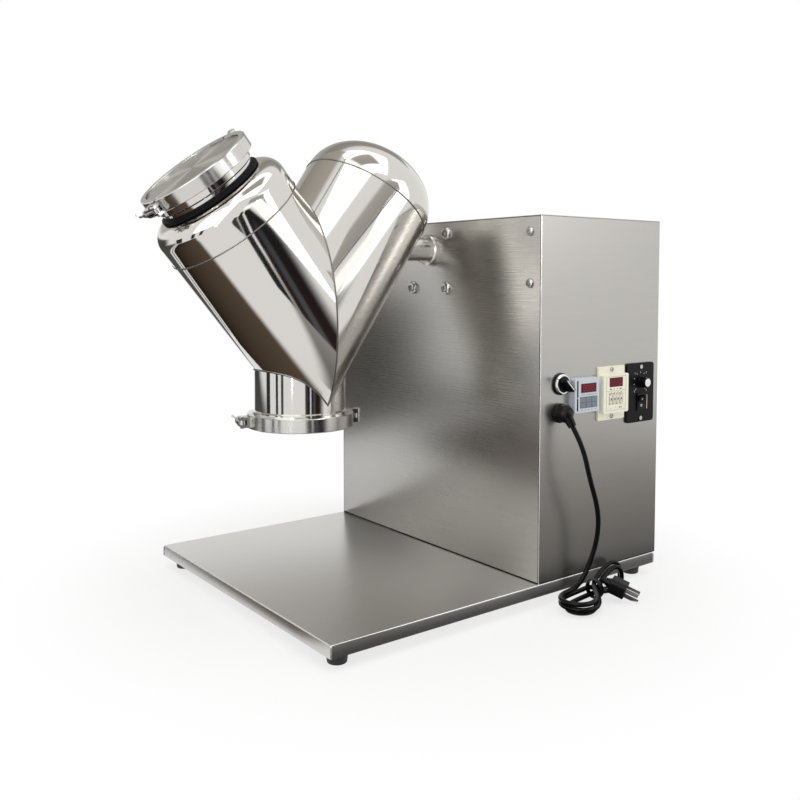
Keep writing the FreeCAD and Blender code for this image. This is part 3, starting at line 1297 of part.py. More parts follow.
def rocker_frame():
    """Frame of the rocker switch with the rocker's pivot pin."""
    z = SPEED_Z - ROCKER_DOWN
    end = SPEED_PLATE + 2
    frame = rounded_panel_block(SPEED_X, z, ROCKER_WIDTH + 3.5, ROCKER_HEIGHT + 6, SPEED_PLATE, end, 1.5)
    frame = frame.cut(panel_block(SPEED_X, z, ROCKER_WIDTH + 0.4, ROCKER_HEIGHT, 0, end + 1))
    half = ROCKER_WIDTH / 2 + 1
    pin = rod(ROCKER_PIN, panel_point(SPEED_X - half, z, SPEED_PLATE + 1), Vector(1, 0, 0), 2 * half)
    return fused([frame, pin])


def rocker():
    """Rocker with two shallow slopes, tipped to one end of its travel."""
    reach = ROCKER_HEIGHT / 2 - 0.8
    outline = [(-reach + 0.7, -2.0), (-reach, 3.2), (0, 1.3), (reach, 3.2), (reach - 0.7, -2.0)]
    corners = [Vector(-ROCKER_WIDTH / 2, -out, up) for up, out in outline]
    body = Part.Face(Part.makePolygon(corners + [corners[0]])).extrude(Vector(ROCKER_WIDTH, 0, 0))
    body = body.cut(rod(ROCKER_PIN + RUNNING_CLEARANCE, Vector(-ROCKER_WIDTH, 0, 0), Vector(1, 0, 0), 2 * ROCKER_WIDTH))
    body.rotate(Vector(0, 0, 0), Vector(1, 0, 0), ROCKER_TILT)
    body.translate(panel_point(SPEED_X, SPEED_Z - ROCKER_DOWN, SPEED_PLATE + 1))
    return body


def drive_and_housing():
    """Nodes of the base, the cabinet and the gear motor."""
    return {
        "base_tray": base_tray(),
        "rubber_feet": rubber_feet(),
        "foot_screws": foot_screws(),
        "cabinet_side_wall": drive_wall(),
        "front_panel": with_cover_screw_holes(front_panel()),
        "rear_panel": with_cover_screw_holes(rear_panel()),
        "right_cover": with_cover_screw_holes(service_cover()),
        "top_cover": top_cover(),
        "cover_screws": cover_screws(),
        "motor_mount_plate": mount_plate(),
        "plate_screws": plate_screws(),
        "gear_motor_bolts": gear_motor_bolts(),
        "gearbox": gearbox(),
        "motor_body": group([motor_body(), fan_cowl()]),
        "shaft_seal_ring": wall_ring(),
        "output_shaft": output_shaft(),
        "capacitor": run_capacitor(),
        "terminal_block": terminal_block(),
    }


def vessel_and_closures():
    """Nodes of the tumbling vessel, its two clamped closures and their swing bolts."""
    filler = (FILLER_HUB_RADIUS, FILLER_CLAMP_HEIGHT)
    outlet = (OUTLET_HUB_RADIUS, OUTLET_CLAMP_HEIGHT)
    return {
        "left_leg": filler_leg(),
        "right_leg": domed_leg(),
        "filler_shoulder": filler_shoulder(),
        "domed_end": domed_end(),
        "outlet_stub": outlet_stub(),
        "filler_ferrule": filler_ferrule(),
        "drive_hub": drive_hub(),
        "hub_grub_screws": grub_screws(),
        "filler_cap": on_filler(closure_cover(FILLER_HUB_RADIUS)),
        "outlet_cap": on_outlet(closure_cover(OUTLET_HUB_RADIUS)),
        "clamp_gaskets": group([
            on_filler(closure_gasket(FILLER_HUB_RADIUS, FILLER_BORE)),
            on_outlet(closure_gasket(OUTLET_HUB_RADIUS, OUTLET_RADIUS - VESSEL_WALL)),
        ]),
        "filler_clamp_front": filler_turned(clamp_half(*filler, True)),
        "filler_clamp_back": filler_turned(clamp_half(*filler, False)),
        "outlet_clamp_front": outlet_turned(clamp_half(*outlet, True)),
        "outlet_clamp_back": outlet_turned(clamp_half(*outlet, False)),
        "clamp_pins": group([filler_turned(clamp_pins(*filler)), outlet_turned(clamp_pins(*outlet))]),
        "filler_swing_bolt": filler_turned(swing_bolt(FILLER_HUB_RADIUS)),
        "filler_wing_nut": filler_turned(wing_nut(FILLER_HUB_RADIUS)),
        "outlet_swing_bolt": outlet_turned(swing_bolt(OUTLET_HUB_RADIUS)),
        "outlet_wing_nut": outlet_turned(wing_nut(OUTLET_HUB_RADIUS)),
    }


def controls_and_lead():
    """Nodes of the front panel's fittings and of the mains lead."""
    nodes = {
        "selector_bezel": selector_bezel(),
        "selector_handle": selector_handle(),
        "panel_modules": panel_modules(),
        "meter_case": meter_case(),
        "meter_window": meter_window(),
        "timer_case": timer_case(),
        "timer_window": timer_window(),
        "panel_screws": panel_screws(),
        "speed_plate": speed_plate(),
        "speed_knob": speed_knob(),
        "rocker_frame": rocker_frame(),
        "rocker": rocker(),
        "cord_gland": cord_gland(),
        "mains_lead": mains_lead(),
        "lead_hank": lead_hank(),
        "hank_tie": hank_tie(),
        "plug_body": plug_body(),
        "plug_pins": plug_pins(),
    }
    for index in range(THUMBWHEEL_COUNT):
        nodes["thumbwheel_%d" % (index + 1)] = thumbwheel(index)
    return nodes


def export_nodes(nodes):
    """Write one STEP file for each node and print its size."""
    for name, shape in nodes.items():
        bounds = shape.BoundBox
        print("%-20s solids %d valid %s  x %.1f..%.1f  y %.1f..%.1f  z %.1f..%.1f"
              % (name, len(shape.Solids), shape.isValid(), bounds.XMin, bounds.XMax,
                 bounds.YMin, bounds.YMax, bounds.ZMin, bounds.ZMax))
        shape.exportStep("parts/%s.step" % name)


os.makedirs("parts", exist_ok=True)
export_nodes(drive_and_housing())
export_nodes(vessel_and_closures())
export_nodes(controls_and_lead())
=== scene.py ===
import bpy
import bmesh
import math
from mathutils import Matrix, Vector


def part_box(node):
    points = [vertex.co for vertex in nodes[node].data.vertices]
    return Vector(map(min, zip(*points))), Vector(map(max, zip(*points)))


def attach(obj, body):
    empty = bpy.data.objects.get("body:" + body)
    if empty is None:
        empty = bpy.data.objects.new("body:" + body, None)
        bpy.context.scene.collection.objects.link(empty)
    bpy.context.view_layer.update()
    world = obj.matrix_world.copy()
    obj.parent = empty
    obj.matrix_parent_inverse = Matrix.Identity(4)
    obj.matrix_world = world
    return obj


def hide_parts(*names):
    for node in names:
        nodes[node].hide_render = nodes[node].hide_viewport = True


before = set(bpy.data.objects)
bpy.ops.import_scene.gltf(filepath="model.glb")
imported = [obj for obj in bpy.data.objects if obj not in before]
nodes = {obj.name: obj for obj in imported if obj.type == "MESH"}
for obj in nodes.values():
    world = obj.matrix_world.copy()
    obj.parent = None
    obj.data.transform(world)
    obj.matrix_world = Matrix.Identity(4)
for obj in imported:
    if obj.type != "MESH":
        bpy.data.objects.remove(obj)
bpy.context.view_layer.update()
scene = bpy.context.scene
scene.view_settings.view_transform = "Standard"

# Camera: it stands in front and to the left of the mixer, a little above the controls, as the
# photographer did. The shift only frames the picture.
camera_data = bpy.data.cameras.new("camera")
camera_data.lens = 40.44
camera_data.sensor_width = 36.0
camera_data.shift_y = -0.0897
camera_data.clip_end = 50.0
camera = bpy.data.objects.new("camera", camera_data)
camera.location = (-0.8604, -1.1250, 0.4683)
camera.rotation_euler = (math.radians(86.71), 0.0, math.radians(-37.05))
scene.collection.objects.link(camera)
scene.camera = camera


# Mains lead: a round black PVC lead of 7 mm. It leaves the elbow of the panel connector, hangs
# in front of the panel and is folded into a hank on the bench, tied at its waist.
class Wire:
    """A shader socket that sums, products and powers can be written with."""

    def __init__(self, finish, socket):
        self.finish = finish
        self.socket = socket

    def joined(self, operation, *others):
        values = dict(enumerate((self,) + others))
        return self.finish.node("ShaderNodeMath", {"operation": operation}, values)

    def __add__(self, other):
        return self.joined("ADD", other)

    def __rsub__(self, other):
        return self.finish.node("ShaderNodeMath", {"operation": "SUBTRACT"}, {0: other, 1: self})

    def __mul__(self, other):
        return self.joined("MULTIPLY", other)

    def __pow__(self, other):
        return self.joined("POWER", other)

    def within(self, low, high):
        """0 up to low, 1 from high on, smooth between."""
        return self.finish.node("ShaderNodeMapRange", {"interpolation_type": "SMOOTHSTEP"},
                                {"Value": self, "From Min": low, "From Max": high})


class Finish:
    """One of the machine's finishes: a principled shader and the nodes that vary it."""

    def __init__(self, name, colour, roughness, metallic=0.0, coat=0.0, specular=0.5):
        self.material = bpy.data.materials.new(name)
        self.material.use_nodes = True
        self.tree = self.material.node_tree
        self.shader = self.tree.nodes["Principled BSDF"]
        self.shader.inputs["Base Color"].default_value = (*colour, 1.0)
        self.shader.inputs["Roughness"].default_value = roughness
        self.shader.inputs["Metallic"].default_value = metallic
        self.shader.inputs["Coat Weight"].default_value = coat
        self.shader.inputs["Specular IOR Level"].default_value = specular
        self.place = self.node("ShaderNodeTexCoord", output="Object")

    def node(self, kind, settings=None, values=None, output=0):
        """Add a node, set it up, fill or link its sockets and give one of its outputs."""
        node = self.tree.nodes.new(kind)
        for name, value in (settings or {}).items():
            setattr(node, name, value)
        for name, value in (values or {}).items():
            if isinstance(value, Wire):
                self.tree.links.new(value.socket, node.inputs[name])
            else:
                node.inputs[name].default_value = value
        return Wire(self, node.outputs[output])

    def feed(self, name, wire):
        """Link a value to one of the shader's sockets."""
        self.tree.links.new(wire.socket, self.shader.inputs[name])

    def noise(self, scale, detail=3.0, roughness=0.5, stretch=(1.0, 1.0, 1.0)):
        """Noise on the object's own place, stretched."""
        where = self.node("ShaderNodeMapping", {}, {"Vector": self.place, "Scale": stretch})
        return self.node("ShaderNodeTexNoise", {}, {"Vector": where, "Scale": scale, "Detail": detail,
                                                    "Roughness": roughness})

    def tint(self, factor, first, second):
        """Colour between two by a factor."""
        return self.node("ShaderNodeMix", {"data_type": "RGBA"},
                         {0: factor, 6: (*first, 1.0), 7: (*second, 1.0)}, output=2)

    def bump(self, height, distance, strength=1.0):
        """Let a height shape the surface's normal."""
        self.feed("Normal", self.node("ShaderNodeBump", {}, {"Height": height, "Distance": distance,
                                                             "Strength": strength}))


def finished(name, mesh, finish, body, replaced=(), sharp=35.0):
    """Put a finished mesh into the scene, shaded smooth up to its sharp edges."""
    if isinstance(mesh, bmesh.types.BMesh):
        built = bpy.data.meshes.new(name)
        mesh.to_mesh(built)
        mesh.free()
        mesh = built
    mesh.shade_smooth()
    mesh.set_sharp_from_angle(angle=math.radians(sharp))
    mesh.materials.clear()
    mesh.materials.append(finish.material)
    piece = bpy.data.objects.new(name, mesh)
    scene.collection.objects.link(piece)
    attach(piece, body)
    if replaced:
        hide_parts(*replaced)
    return piece


LEAD_ROUTE = (
    (0.0880, -0.2714, 0.2576), (0.0955, -0.2840, 0.2314), (0.1045, -0.2900, 0.1830),
    (0.1195, -0.2900, 0.1465), (0.1300, -0.2850, 0.1160), (0.1310, -0.2800, 0.0870),
    (0.1260, -0.2750, 0.0620), (0.1190, -0.2700, 0.0400), (0.1100, -0.2670, 0.0260),
    (0.0960, -0.2640, 0.0195), (0.0780, -0.2650, 0.0190), (0.0620, -0.2740, 0.0190),
    (0.0550, -0.2900, 0.0190), (0.0600, -0.3070, 0.0190), (0.0760, -0.3160, 0.0190),
    (0.0960, -0.3120, 0.0190), (0.1130, -0.2990, 0.0195), (0.1260, -0.2820, 0.0210),
    (0.1380, -0.2700, 0.0235), (0.1520, -0.2650, 0.0300), (0.1700, -0.2630, 0.0400),
    (0.1880, -0.2620, 0.0435), (0.2010, -0.2630, 0.0380), (0.2055, -0.2640, 0.0240),
    (0.2010, -0.2640, 0.0100), (0.1880, -0.2630, 0.0045), (0.1680, -0.2620, 0.0050),
    (0.1500, -0.2620, 0.0100), (0.1380, -0.2635, 0.0165), (0.1220, -0.2610, 0.0140),
    (0.1040, -0.2600, 0.0120), (0.0840, -0.2620, 0.0115), (0.0670, -0.2700, 0.0115),
    (0.0580, -0.2840, 0.0115), (0.0580, -0.3020, 0.0115), (0.0690, -0.3150, 0.0115),
    (0.0880, -0.3180, 0.0115), (0.1080, -0.3070, 0.0115), (0.1240, -0.2910, 0.0130),
    (0.1380, -0.2770, 0.0170), (0.1520, -0.2725, 0.0250), (0.1680, -0.2715, 0.0345),
    (0.1830, -0.2710, 0.0395), (0.1950, -0.2715, 0.0340), (0.1995, -0.2720, 0.0210),
    (0.1950, -0.2720, 0.0090), (0.1820, -0.2710, 0.0045), (0.1660, -0.2705, 0.0055),
    (0.1500, -0.2700, 0.0080), (0.1380, -0.2700, 0.0090), (0.1220, -0.2670, 0.0060),
    (0.1040, -0.2670, 0.0042), (0.0860, -0.2700, 0.0040), (0.0720, -0.2780, 0.0040),
    (0.0650, -0.2900, 0.0040), (0.0700, -0.3040, 0.0040), (0.0840, -0.3110, 0.0040),
    (0.1020, -0.3050, 0.0040), (0.1200, -0.2920, 0.0050), (0.1380, -0.2800, 0.0080),
    (0.1450, -0.2765, 0.0135), (0.1480, -0.2735, 0.0215), (0.1480, -0.2755, 0.0285),
    (0.1502, -0.2837, 0.0268),
)
lead_pvc = Finish("lead_pvc", (0.003, 0.003, 0.0035), 0.24, specular=0.16)
lead_pvc.feed("Roughness", lead_pvc.noise(240.0, 3.0) * 0.10 + 0.20)
lead_pvc.bump(lead_pvc.noise(900.0, 2.0), 0.00005, 0.4)
lead_curve = bpy.data.curves.new("mains_lead_line", "CURVE")
lead_curve.dimensions = "3D"
lead_curve.bevel_depth = 0.0035
lead_curve.bevel_resolution = 5
lead_curve.resolution_u = 5
lead_curve.use_fill_caps = True
lead_spline = lead_curve.splines.new("NURBS")
lead_spline.points.add(len(LEAD_ROUTE) - 1)
for point, place in zip(lead_spline.points, LEAD_ROUTE):
    point.co = (*place, 1.0)
lead_spline.use_endpoint_u = True
lead_spline.order_u = 3
lead_curve.materials.append(lead_pvc.material)
lead = bpy.data.objects.new("lead", lead_curve)
scene.collection.objects.link(lead)
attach(lead, "housing")
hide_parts("mains_lead", "lead_hank")

# Twist tie: a flat black band drawn tight round the waist of the hank. It is an open ring of
# one row of faces that is given its thickness afterwards.
tie_rubber = Finish("tie_rubber", (0.006, 0.006, 0.007), 0.4, specular=0.2)
tie_rubber.bump(tie_rubber.noise(700.0), 0.0001, 0.5)
tie = bmesh.new()
bmesh.ops.create_circle(tie, segments=48, radius=0.0138)
bmesh.ops.scale(tie, verts=tie.verts, vec=(1.0, 1.02, 1.0))
loop = bmesh.ops.extrude_edge_only(tie, edges=tie.edges[:])
tie_rim = [v for v in loop["geom"] if isinstance(v, bmesh.types.BMVert)]
bmesh.ops.translate(tie, verts=tie_rim, vec=(0, 0, 0.008))
bmesh.ops.recalc_face_normals(tie, faces=tie.faces)
bmesh.ops.solidify(tie, geom=tie.faces[:], thickness=0.0009)
waist = Matrix.Translation((0.134, -0.272, 0.0155)) @ Matrix.Rotation(math.radians(90), 4, "Y")
bmesh.ops.transform(tie, verts=tie.verts, matrix=waist)
tie_piece = finished("waist_tie", tie, tie_rubber, "housing", ["hank_tie"])


# Plug: moulded black body with a ribbed strain relief and three flat plated pins. Both are CAD
# nodes, which keep their shape and get their finish here.
def dressed(node, finish):
    """Give a CAD node the finish of the real piece."""
    nodes[node].data.materials.clear()
    nodes[node].data.materials.append(finish.material)


plug_pvc = Finish("plug_pvc", (0.004, 0.004, 0.0045), 0.34, specular=0.16)
plug_pvc.bump(plug_pvc.noise(600.0, 4.0), 0.00008, 0.5)
dressed("plug_body", plug_pvc)
pin_plate = Finish("pin_plate", (0.90, 0.88, 0.84), 0.2, metallic=1.0)
pin_plate.feed("Roughness", pin_plate.noise(300.0, 3.0) * 0.12 + 0.10)
dressed("plug_pins", pin_plate)


# Base tray: one folded sheet of 2 mm satin stainless steel, with its bend round the top and a
# welded, dressed seam at each corner. The brushing runs along its length.
def brushed(name, colour, grain, roughness=0.3, depth=0.00002):
    """Satin stainless steel with its grain along one axis: 0, 1 or 2."""
    finish = Finish(name, colour, roughness, metallic=1.0)
    stretch = [1.0, 1.0, 1.0]
    stretch[grain] = 0.005
    hair = finish.noise(1800.0, 3.0, 0.6, stretch)
    band = finish.noise(60.0, 3.0, 0.55, [s ** 0.5 for s in stretch])
    cloud = finish.noise(4.0, 3.0, 0.5)
    wear = finish.noise(22.0, 5.0, 0.7)
    finish.feed("Roughness", hair * 0.12 + cloud * 0.06 + wear * 0.03 + (roughness - 0.10))
    shade = (hair * 0.55 + band * 0.15 + cloud * 0.3).within(0.25, 0.75)
    dull, bright = [c * 0.965 for c in colour], [min(1.0, c * 1.03) for c in colour]
    finish.feed("Base Color", finish.tint(shade, dull, bright))
    finish.bump(hair, depth, 0.15)
    return finish


def soft_box(low, high, bend, segments=3, edges=None):
    """Block with rounded edges between two corners, from a cube; edges picks which ones."""
    block = bmesh.new()
    bmesh.ops.create_cube(block, size=1.0)
    size = [h - l for l, h in zip(low, high)]
    bmesh.ops.scale(block, verts=block.verts, vec=size)
    bmesh.ops.translate(block, verts=block.verts, vec=[(l + h) / 2 for l, h in zip(low, high)])
    picked = [e for e in block.edges if edges is None or edges(e)]
    bmesh.ops.bevel(block, geom=picked, offset=bend, offset_type="OFFSET", segments=segments, profile=0.5,
                    affect="EDGES", material=-1, clamp_overlap=True)
    return block


def joined(parts):
    """One bmesh from several."""
    whole = bmesh.new()
    for part in parts:
        carry = bpy.data.meshes.new("carry")
        part.to_mesh(carry)
        part.free()
        whole.from_mesh(carry)
        bpy.data.meshes.remove(carry)
    return whole


tray_steel = brushed("tray_steel", (0.66, 0.65, 0.63), 0, 0.30)
tray_low, tray_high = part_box("base_tray")
tray = soft_box(tray_low, tray_high, 0.0020, 4,
                lambda e: max(v.co.z for v in e.verts) > tray_high.z - 1e-5)
under = [f for f in tray.faces if f.normal.z < -0.9]
bmesh.ops.inset_region(tray, faces=under, thickness=0.002)
bmesh.ops.translate(tray, verts=list({v for f in under for v in f.verts}), vec=(0, 0, 0.0145))
finished("tray", tray, tray_steel, "housing", ["base_tray"])

# Corner seams of the tray: a fine dressed weld line down each upright corner of the skirt,
# darker than the sheet on both sides of it.
SEAM_HALF = 0.0004
seam_steel = Finish("seam_steel", (0.16, 0.155, 0.15), 0.5, metallic=1.0)
seam_steel.feed("Roughness", seam_steel.noise(500.0) * 0.3 + 0.35)
seams = []
for x in (tray_low.x, tray_high.x):
    for y in (tray_low.y, tray_high.y):
        seams.append(soft_box((x - SEAM_HALF, y - SEAM_HALF, tray_low.z + 0.0005),
                              (x + SEAM_HALF, y + SEAM_HALF, tray_high.z - 0.003), 0.0001, 1))
finished("tray_corner_seams", joined(seams), seam_steel, "housing", ())

# Feet: four tapered mouldings of black rubber under the corners of the tray, each held by a
# screw in its recess. They are turned from one outline.
FOOT_RADIUS = 0.014
SHARP_RING = math.radians(25.0)
foot_rubber = Finish("foot_rubber", (0.012, 0.012, 0.012), 0.62)
foot_rubber.feed("Roughness", foot_rubber.noise(180.0, 4.0) * 0.2 + 0.5)
foot_rubber.bump(foot_rubber.noise(500.0, 4.0), 0.0002, 0.5)


def turned(outline, steps, soften=0.0):
    """Turn an outline of (radius, height) corners about Z, and soften its sharp rings."""
    piece = bmesh.new()
    corners = [piece.verts.new((r, 0.0, h)) for r, h in outline]
    rim = [piece.edges.new(pair) for pair in zip(corners, corners[1:])]
    bmesh.ops.spin(piece, geom=corners + rim, cent=(0, 0, 0), axis=(0, 0, 1), dvec=(0, 0, 0),
                   angle=math.tau, steps=steps, use_merge=True)
    bmesh.ops.remove_doubles(piece, verts=piece.verts, dist=1e-6)
    bmesh.ops.recalc_face_normals(piece, faces=piece.faces)
    if soften:
        sharp = [e for e in piece.edges
                 if len(e.link_faces) == 2 and e.calc_face_angle() > SHARP_RING]
        bmesh.ops.bevel(piece, geom=sharp, offset=soften, offset_type="OFFSET", segments=2, profile=0.5,
                        affect="EDGES", material=-1, clamp_overlap=True)
    return piece


feet = []
foot_low, foot_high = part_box("rubber_feet")
for x in (foot_low.x + FOOT_RADIUS, foot_high.x - FOOT_RADIUS):
    for y in (foot_low.y + FOOT_RADIUS, foot_high.y - FOOT_RADIUS):
        foot = turned([(0, 0.0085), (0.007, 0.0085), (0.007, 0), (0.0115, 0), (0.0125, 0.001),
                       (FOOT_RADIUS, 0.014), (FOOT_RADIUS, 0.017), (0, 0.017)], 48, 0.0005)
        bmesh.ops.translate(foot, verts=foot.verts, vec=(x, y, 0))
        feet.append(foot)
finished("feet", joined(feet), foot_rubber, "housing", ["rubber_feet"])

# Cabinet: satin stainless sheets. The left wall carries the drive; the front and rear panels
# wrap its edges with rounded bends, so a dark gap shows where the wall meets them.
wall_steel = brushed("wall_steel", (0.47, 0.455, 0.43), 1, 0.28)
panel_steel = brushed("panel_steel", (0.475, 0.46, 0.435), 0, 0.30)
wall_low, wall_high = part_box("cabinet_side_wall")
wall = soft_box((wall_low.x, wall_low.y + 0.0009, wall_low.z + 0.0016),
                (wall_low.x + 0.002, wall_high.y, wall_high.z - 0.0003), 0.0004, 2)
finished("drive_wall", wall, wall_steel, "housing", ["cabinet_side_wall"])
gap_shade = Finish("gap_shade", (0.006, 0.006, 0.006), 0.8, specular=0.1)
gap_shade.bump(gap_shade.noise(300.0), 0.0001, 0.4)
gap_start, gap_end = wall_low.x + 0.0004, wall_low.x + 0.0012
gaps = [soft_box((gap_start, wall_low.y - 0.0003, wall_low.z + 0.0002),
                 (gap_end, wall_low.y + 0.0012, wall_high.z - 0.0003), 0.0001, 1),
        soft_box((gap_start, wall_low.y + 0.0004, wall_low.z + 0.0001),
                 (gap_end, wall_high.y, wall_low.z + 0.0018), 0.0001, 1),
        soft_box((wall_low.x + 0.003, -0.2493, wall_low.z + 0.0002),
                 (0.3055, -0.2480, wall_low.z + 0.0012), 0.0001, 1)]
finished("wall_gaps", joined(gaps), gap_shade, "housing", ())
# Bends: a brighter copy of the sheet steel, a painted highlight along each rounded edge.
bend_highlight_steel = Finish("bend_highlight_steel", (0.86, 0.85, 0.83), 0.2, metallic=1.0)
bend_highlight_steel.feed("Roughness", bend_highlight_steel.noise(60.0, 3.0) * 0.15 + 0.15)


def bend(start, end, radius):
    """Rounded outside of a bend: a fine rod along the edge of a sheet, with a painted highlight."""
    rod = bmesh.new()
    way = Vector(end) - Vector(start)
    turn = way.to_track_quat("Z", "Y").to_matrix().to_4x4()
    bmesh.ops.create_cone(rod, cap_ends=True, segments=24, radius1=radius, radius2=radius, depth=way.length,
                          matrix=Matrix.Translation((Vector(start) + Vector(end)) / 2) @ turn)
    return rod


edge_z, edge, bend_x = tray_high.z - 0.0011, 0.0011, wall_low.x + 0.0009
bends = [bend((bend_x, -0.2481, wall_low.z), (bend_x, -0.2481, wall_high.z), 0.0010),
         bend((tray_low.x + 0.004, tray_low.y + edge, edge_z),
              (tray_high.x - 0.004, tray_low.y + edge, edge_z), edge),
         bend((tray_low.x + edge, tray_low.y + 0.004, edge_z),
              (tray_low.x + edge, tray_high.y - 0.004, edge_z), edge)]
finished("bend_highlight_lines", joined(bends), bend_highlight_steel, "housing", ())
dressed("front_panel", panel_steel)
dressed("rear_panel", panel_steel)
dressed("right_cover", wall_steel)
cover_low, cover_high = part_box("top_cover")
cover = soft_box(cover_low, cover_high, 0.0009, 3)
finished("top_sheet", cover, panel_steel, "housing", ["top_cover"])

# Drive parts inside the cabinet: plate, gear head, motor, capacitor and terminals. No view
# shows them, so they are CAD nodes with a finish.
cast_alloy = Finish("cast_alloy", (0.50, 0.50, 0.51), 0.45, metallic=1.0)
cast_alloy.bump(cast_alloy.noise(350.0, 4.0), 0.0003, 0.5)
motor_enamel = Finish("motor_enamel", (0.05, 0.055, 0.065), 0.4, coat=0.2)
motor_enamel.bump(motor_enamel.noise(260.0, 3.0), 0.0001, 0.4)
dressed("motor_mount_plate", brushed("plate_steel", (0.40, 0.40, 0.40), 2, 0.4))
dressed("gearbox", cast_alloy)
dressed("motor_body", motor_enamel)
dressed("capacitor", cast_alloy)
dressed("terminal_block", tie_rubber)

# Screws, bolts and pins: bright stainless button heads with a hexagon socket, pan heads and
# the pins of the clamps. All of them are CAD nodes.
bright_screw = Finish("bright_screw", (0.52, 0.51, 0.50), 0.16, metallic=1.0)
bright_screw.feed("Roughness", bright_screw.noise(400.0, 3.0) * 0.14 + 0.10)
bright_screw.bump(bright_screw.noise(900.0, 3.0), 0.00003, 0.5)
for node in ("foot_screws", "cover_screws", "plate_screws", "gear_motor_bolts", "panel_screws",
             "hub_grub_screws", "clamp_pins"):
    dressed(node, bright_screw)

# Vessel: two rolled and mitred tubes of 2 mm stainless steel, mirror polished inside and out,
# with the welds dressed flush. The shoulder and the dome are spun and butt welded on.
LEG_ANGLE = math.radians(36.7)
LEAN = math.radians(2.5)
CROSSING = Vector((-0.19543, -0.004, 0.4134))
LEG_RADIUS = 0.0995
FILLER_WELD = 0.164
DOME_WELD = 0.203
SHOULDER_BEND = 0.025
DOME_RISE = 0.076
OUTLET_FACE = 0.263
STUB_RADIUS = 0.066
TURNED_STEPS = 192
upright = Matrix.Translation(CROSSING) @ Matrix.Rotation(-LEAN, 4, "Y")
to_filler = upright @ Matrix.Rotation(-LEG_ANGLE, 4, "Y")
to_dome = upright @ Matrix.Rotation(LEG_ANGLE, 4, "Y")
polished = Finish("polished", (0.67, 0.65, 0.615), 0.07, metallic=1.0)
polished.feed("Roughness", polished.noise(9.0, 4.0, 0.6) * 0.05 + polished.noise(300.0, 2.0) * 0.03 + 0.03)
polished.bump(polished.noise(6.0, 2.0, 0.5) + polished.noise(40.0, 3.0, 0.5) * 0.04, 0.0006, 0.25)


def carried(piece, place):
    """Carry a piece that was made on the Z axis to its place."""
    bmesh.ops.transform(piece, verts=piece.verts, matrix=place)
    return piece


def rolled_leg(place, end, side):
    """Tube from the mitre to its end, cut on the plane where the legs meet."""
    tube = bmesh.new()
    bmesh.ops.create_cone(tube, cap_ends=False, segments=256, radius1=LEG_RADIUS, radius2=LEG_RADIUS,
                          depth=end + 0.25, matrix=Matrix.Translation((0, 0, (end - 0.25) / 2)))
    carried(tube, place)
    bmesh.ops.bisect_plane(tube, geom=tube.verts[:] + tube.edges[:] + tube.faces[:], dist=1e-6,
                           plane_co=CROSSING, plane_no=upright.to_3x3() @ Vector((-side, 0, 0)),
                           clear_outer=True)
    bmesh.ops.recalc_face_normals(tube, faces=tube.faces)
    return tube


finished("filler_tube", rolled_leg(to_filler, FILLER_WELD, -1), polished, "barrel", ["left_leg"])
finished("dome_tube", rolled_leg(to_dome, DOME_WELD, 1), polished, "barrel", ["right_leg"])
shoulder = turned([(LEG_RADIUS, FILLER_WELD), (LEG_RADIUS, 0.191)]
                  + [(0.0745 + SHOULDER_BEND * math.sin(math.radians(t)),
                      0.191 + SHOULDER_BEND * math.cos(math.radians(t))) for t in range(81, -1, -9)]
                  + [(0.070, 0.216)], TURNED_STEPS)
finished("spun_shoulder", carried(shoulder, to_filler), polished, "barrel", ["filler_shoulder"])
dome = turned([(LEG_RADIUS, DOME_WELD), (LEG_RADIUS, 0.208)]
              + [(LEG_RADIUS * math.cos(math.radians(t)),
                  0.208 + DOME_RISE * math.sin(math.radians(t))) for t in range(3, 91, 3)],
              TURNED_STEPS)
finished("pressed_dome", carried(dome, to_dome), polished, "barrel", ["domed_end"])
stub = turned([(0.064, 0.001), (0.0722, 0.001), (0.0722, 0.0035), (0.068, 0.005), (0.068, 0.013),
               (STUB_RADIUS, 0.015), (STUB_RADIUS, 0.120)], TURNED_STEPS)
bmesh.ops.translate(stub, verts=stub.verts, vec=(CROSSING.x, CROSSING.y, OUTLET_FACE))
finished("outlet_pipe", stub, polished, "barrel", ["outlet_stub"])

# Welds: fine dressed beads round the shoulder, the dome, the mitre and the outlet. The last one
# follows the line where the outlet pipe enters the two legs.
weld_steel = Finish("weld_steel", (0.20, 0.19, 0.18), 0.32, metallic=1.0)
weld_steel.bump(weld_steel.noise(400.0, 2.0), 0.0002, 0.6)


def bead(name, points, radius, closed=True):
    """Weld bead along points."""
    line = bpy.data.curves.new(name, "CURVE")
    line.dimensions = "3D"
    line.bevel_depth = radius
    line.bevel_resolution = 2
    spline = line.splines.new("POLY")
    spline.points.add(len(points) - 1)
    for point, place in zip(spline.points, points):
        point.co = (*place, 1.0)
    spline.use_cyclic_u = closed
    shaped = bpy.data.objects.new(name, line)
    mesh = bpy.data.meshes.new_from_object(shaped)
    bpy.data.objects.remove(shaped)
    finished(name, mesh, weld_steel, "barrel", ())


ROUND = [math.radians(t) for t in range(0, 360, 3)]
for name, place, height in (("shoulder_weld", to_filler, FILLER_WELD),
                            ("dome_weld", to_dome, DOME_WELD)):
    bead(name, [place @ Vector((LEG_RADIUS * math.cos(t), LEG_RADIUS * math.sin(t), height))
                for t in ROUND], 0.0011)
bead("mitre_weld", [upright @ Vector((0, LEG_RADIUS * math.sin(t),
                                      LEG_RADIUS * math.cos(t) / math.sin(LEG_ANGLE)))
                    for t in ROUND], 0.0012)
outlet_edge = []
for t in ROUND:
    x, y = STUB_RADIUS * math.cos(t), STUB_RADIUS * math.sin(t)
    depth = math.sqrt(LEG_RADIUS ** 2 - y ** 2)
    filler_tilt, dome_tilt = LEG_ANGLE + LEAN, LEG_ANGLE - LEAN
    z = max((-depth - x * math.cos(filler_tilt)) / math.sin(filler_tilt),
            (x * math.cos(dome_tilt) - depth) / math.sin(dome_tilt))
    outlet_edge.append(CROSSING + Vector((x, y, z)))
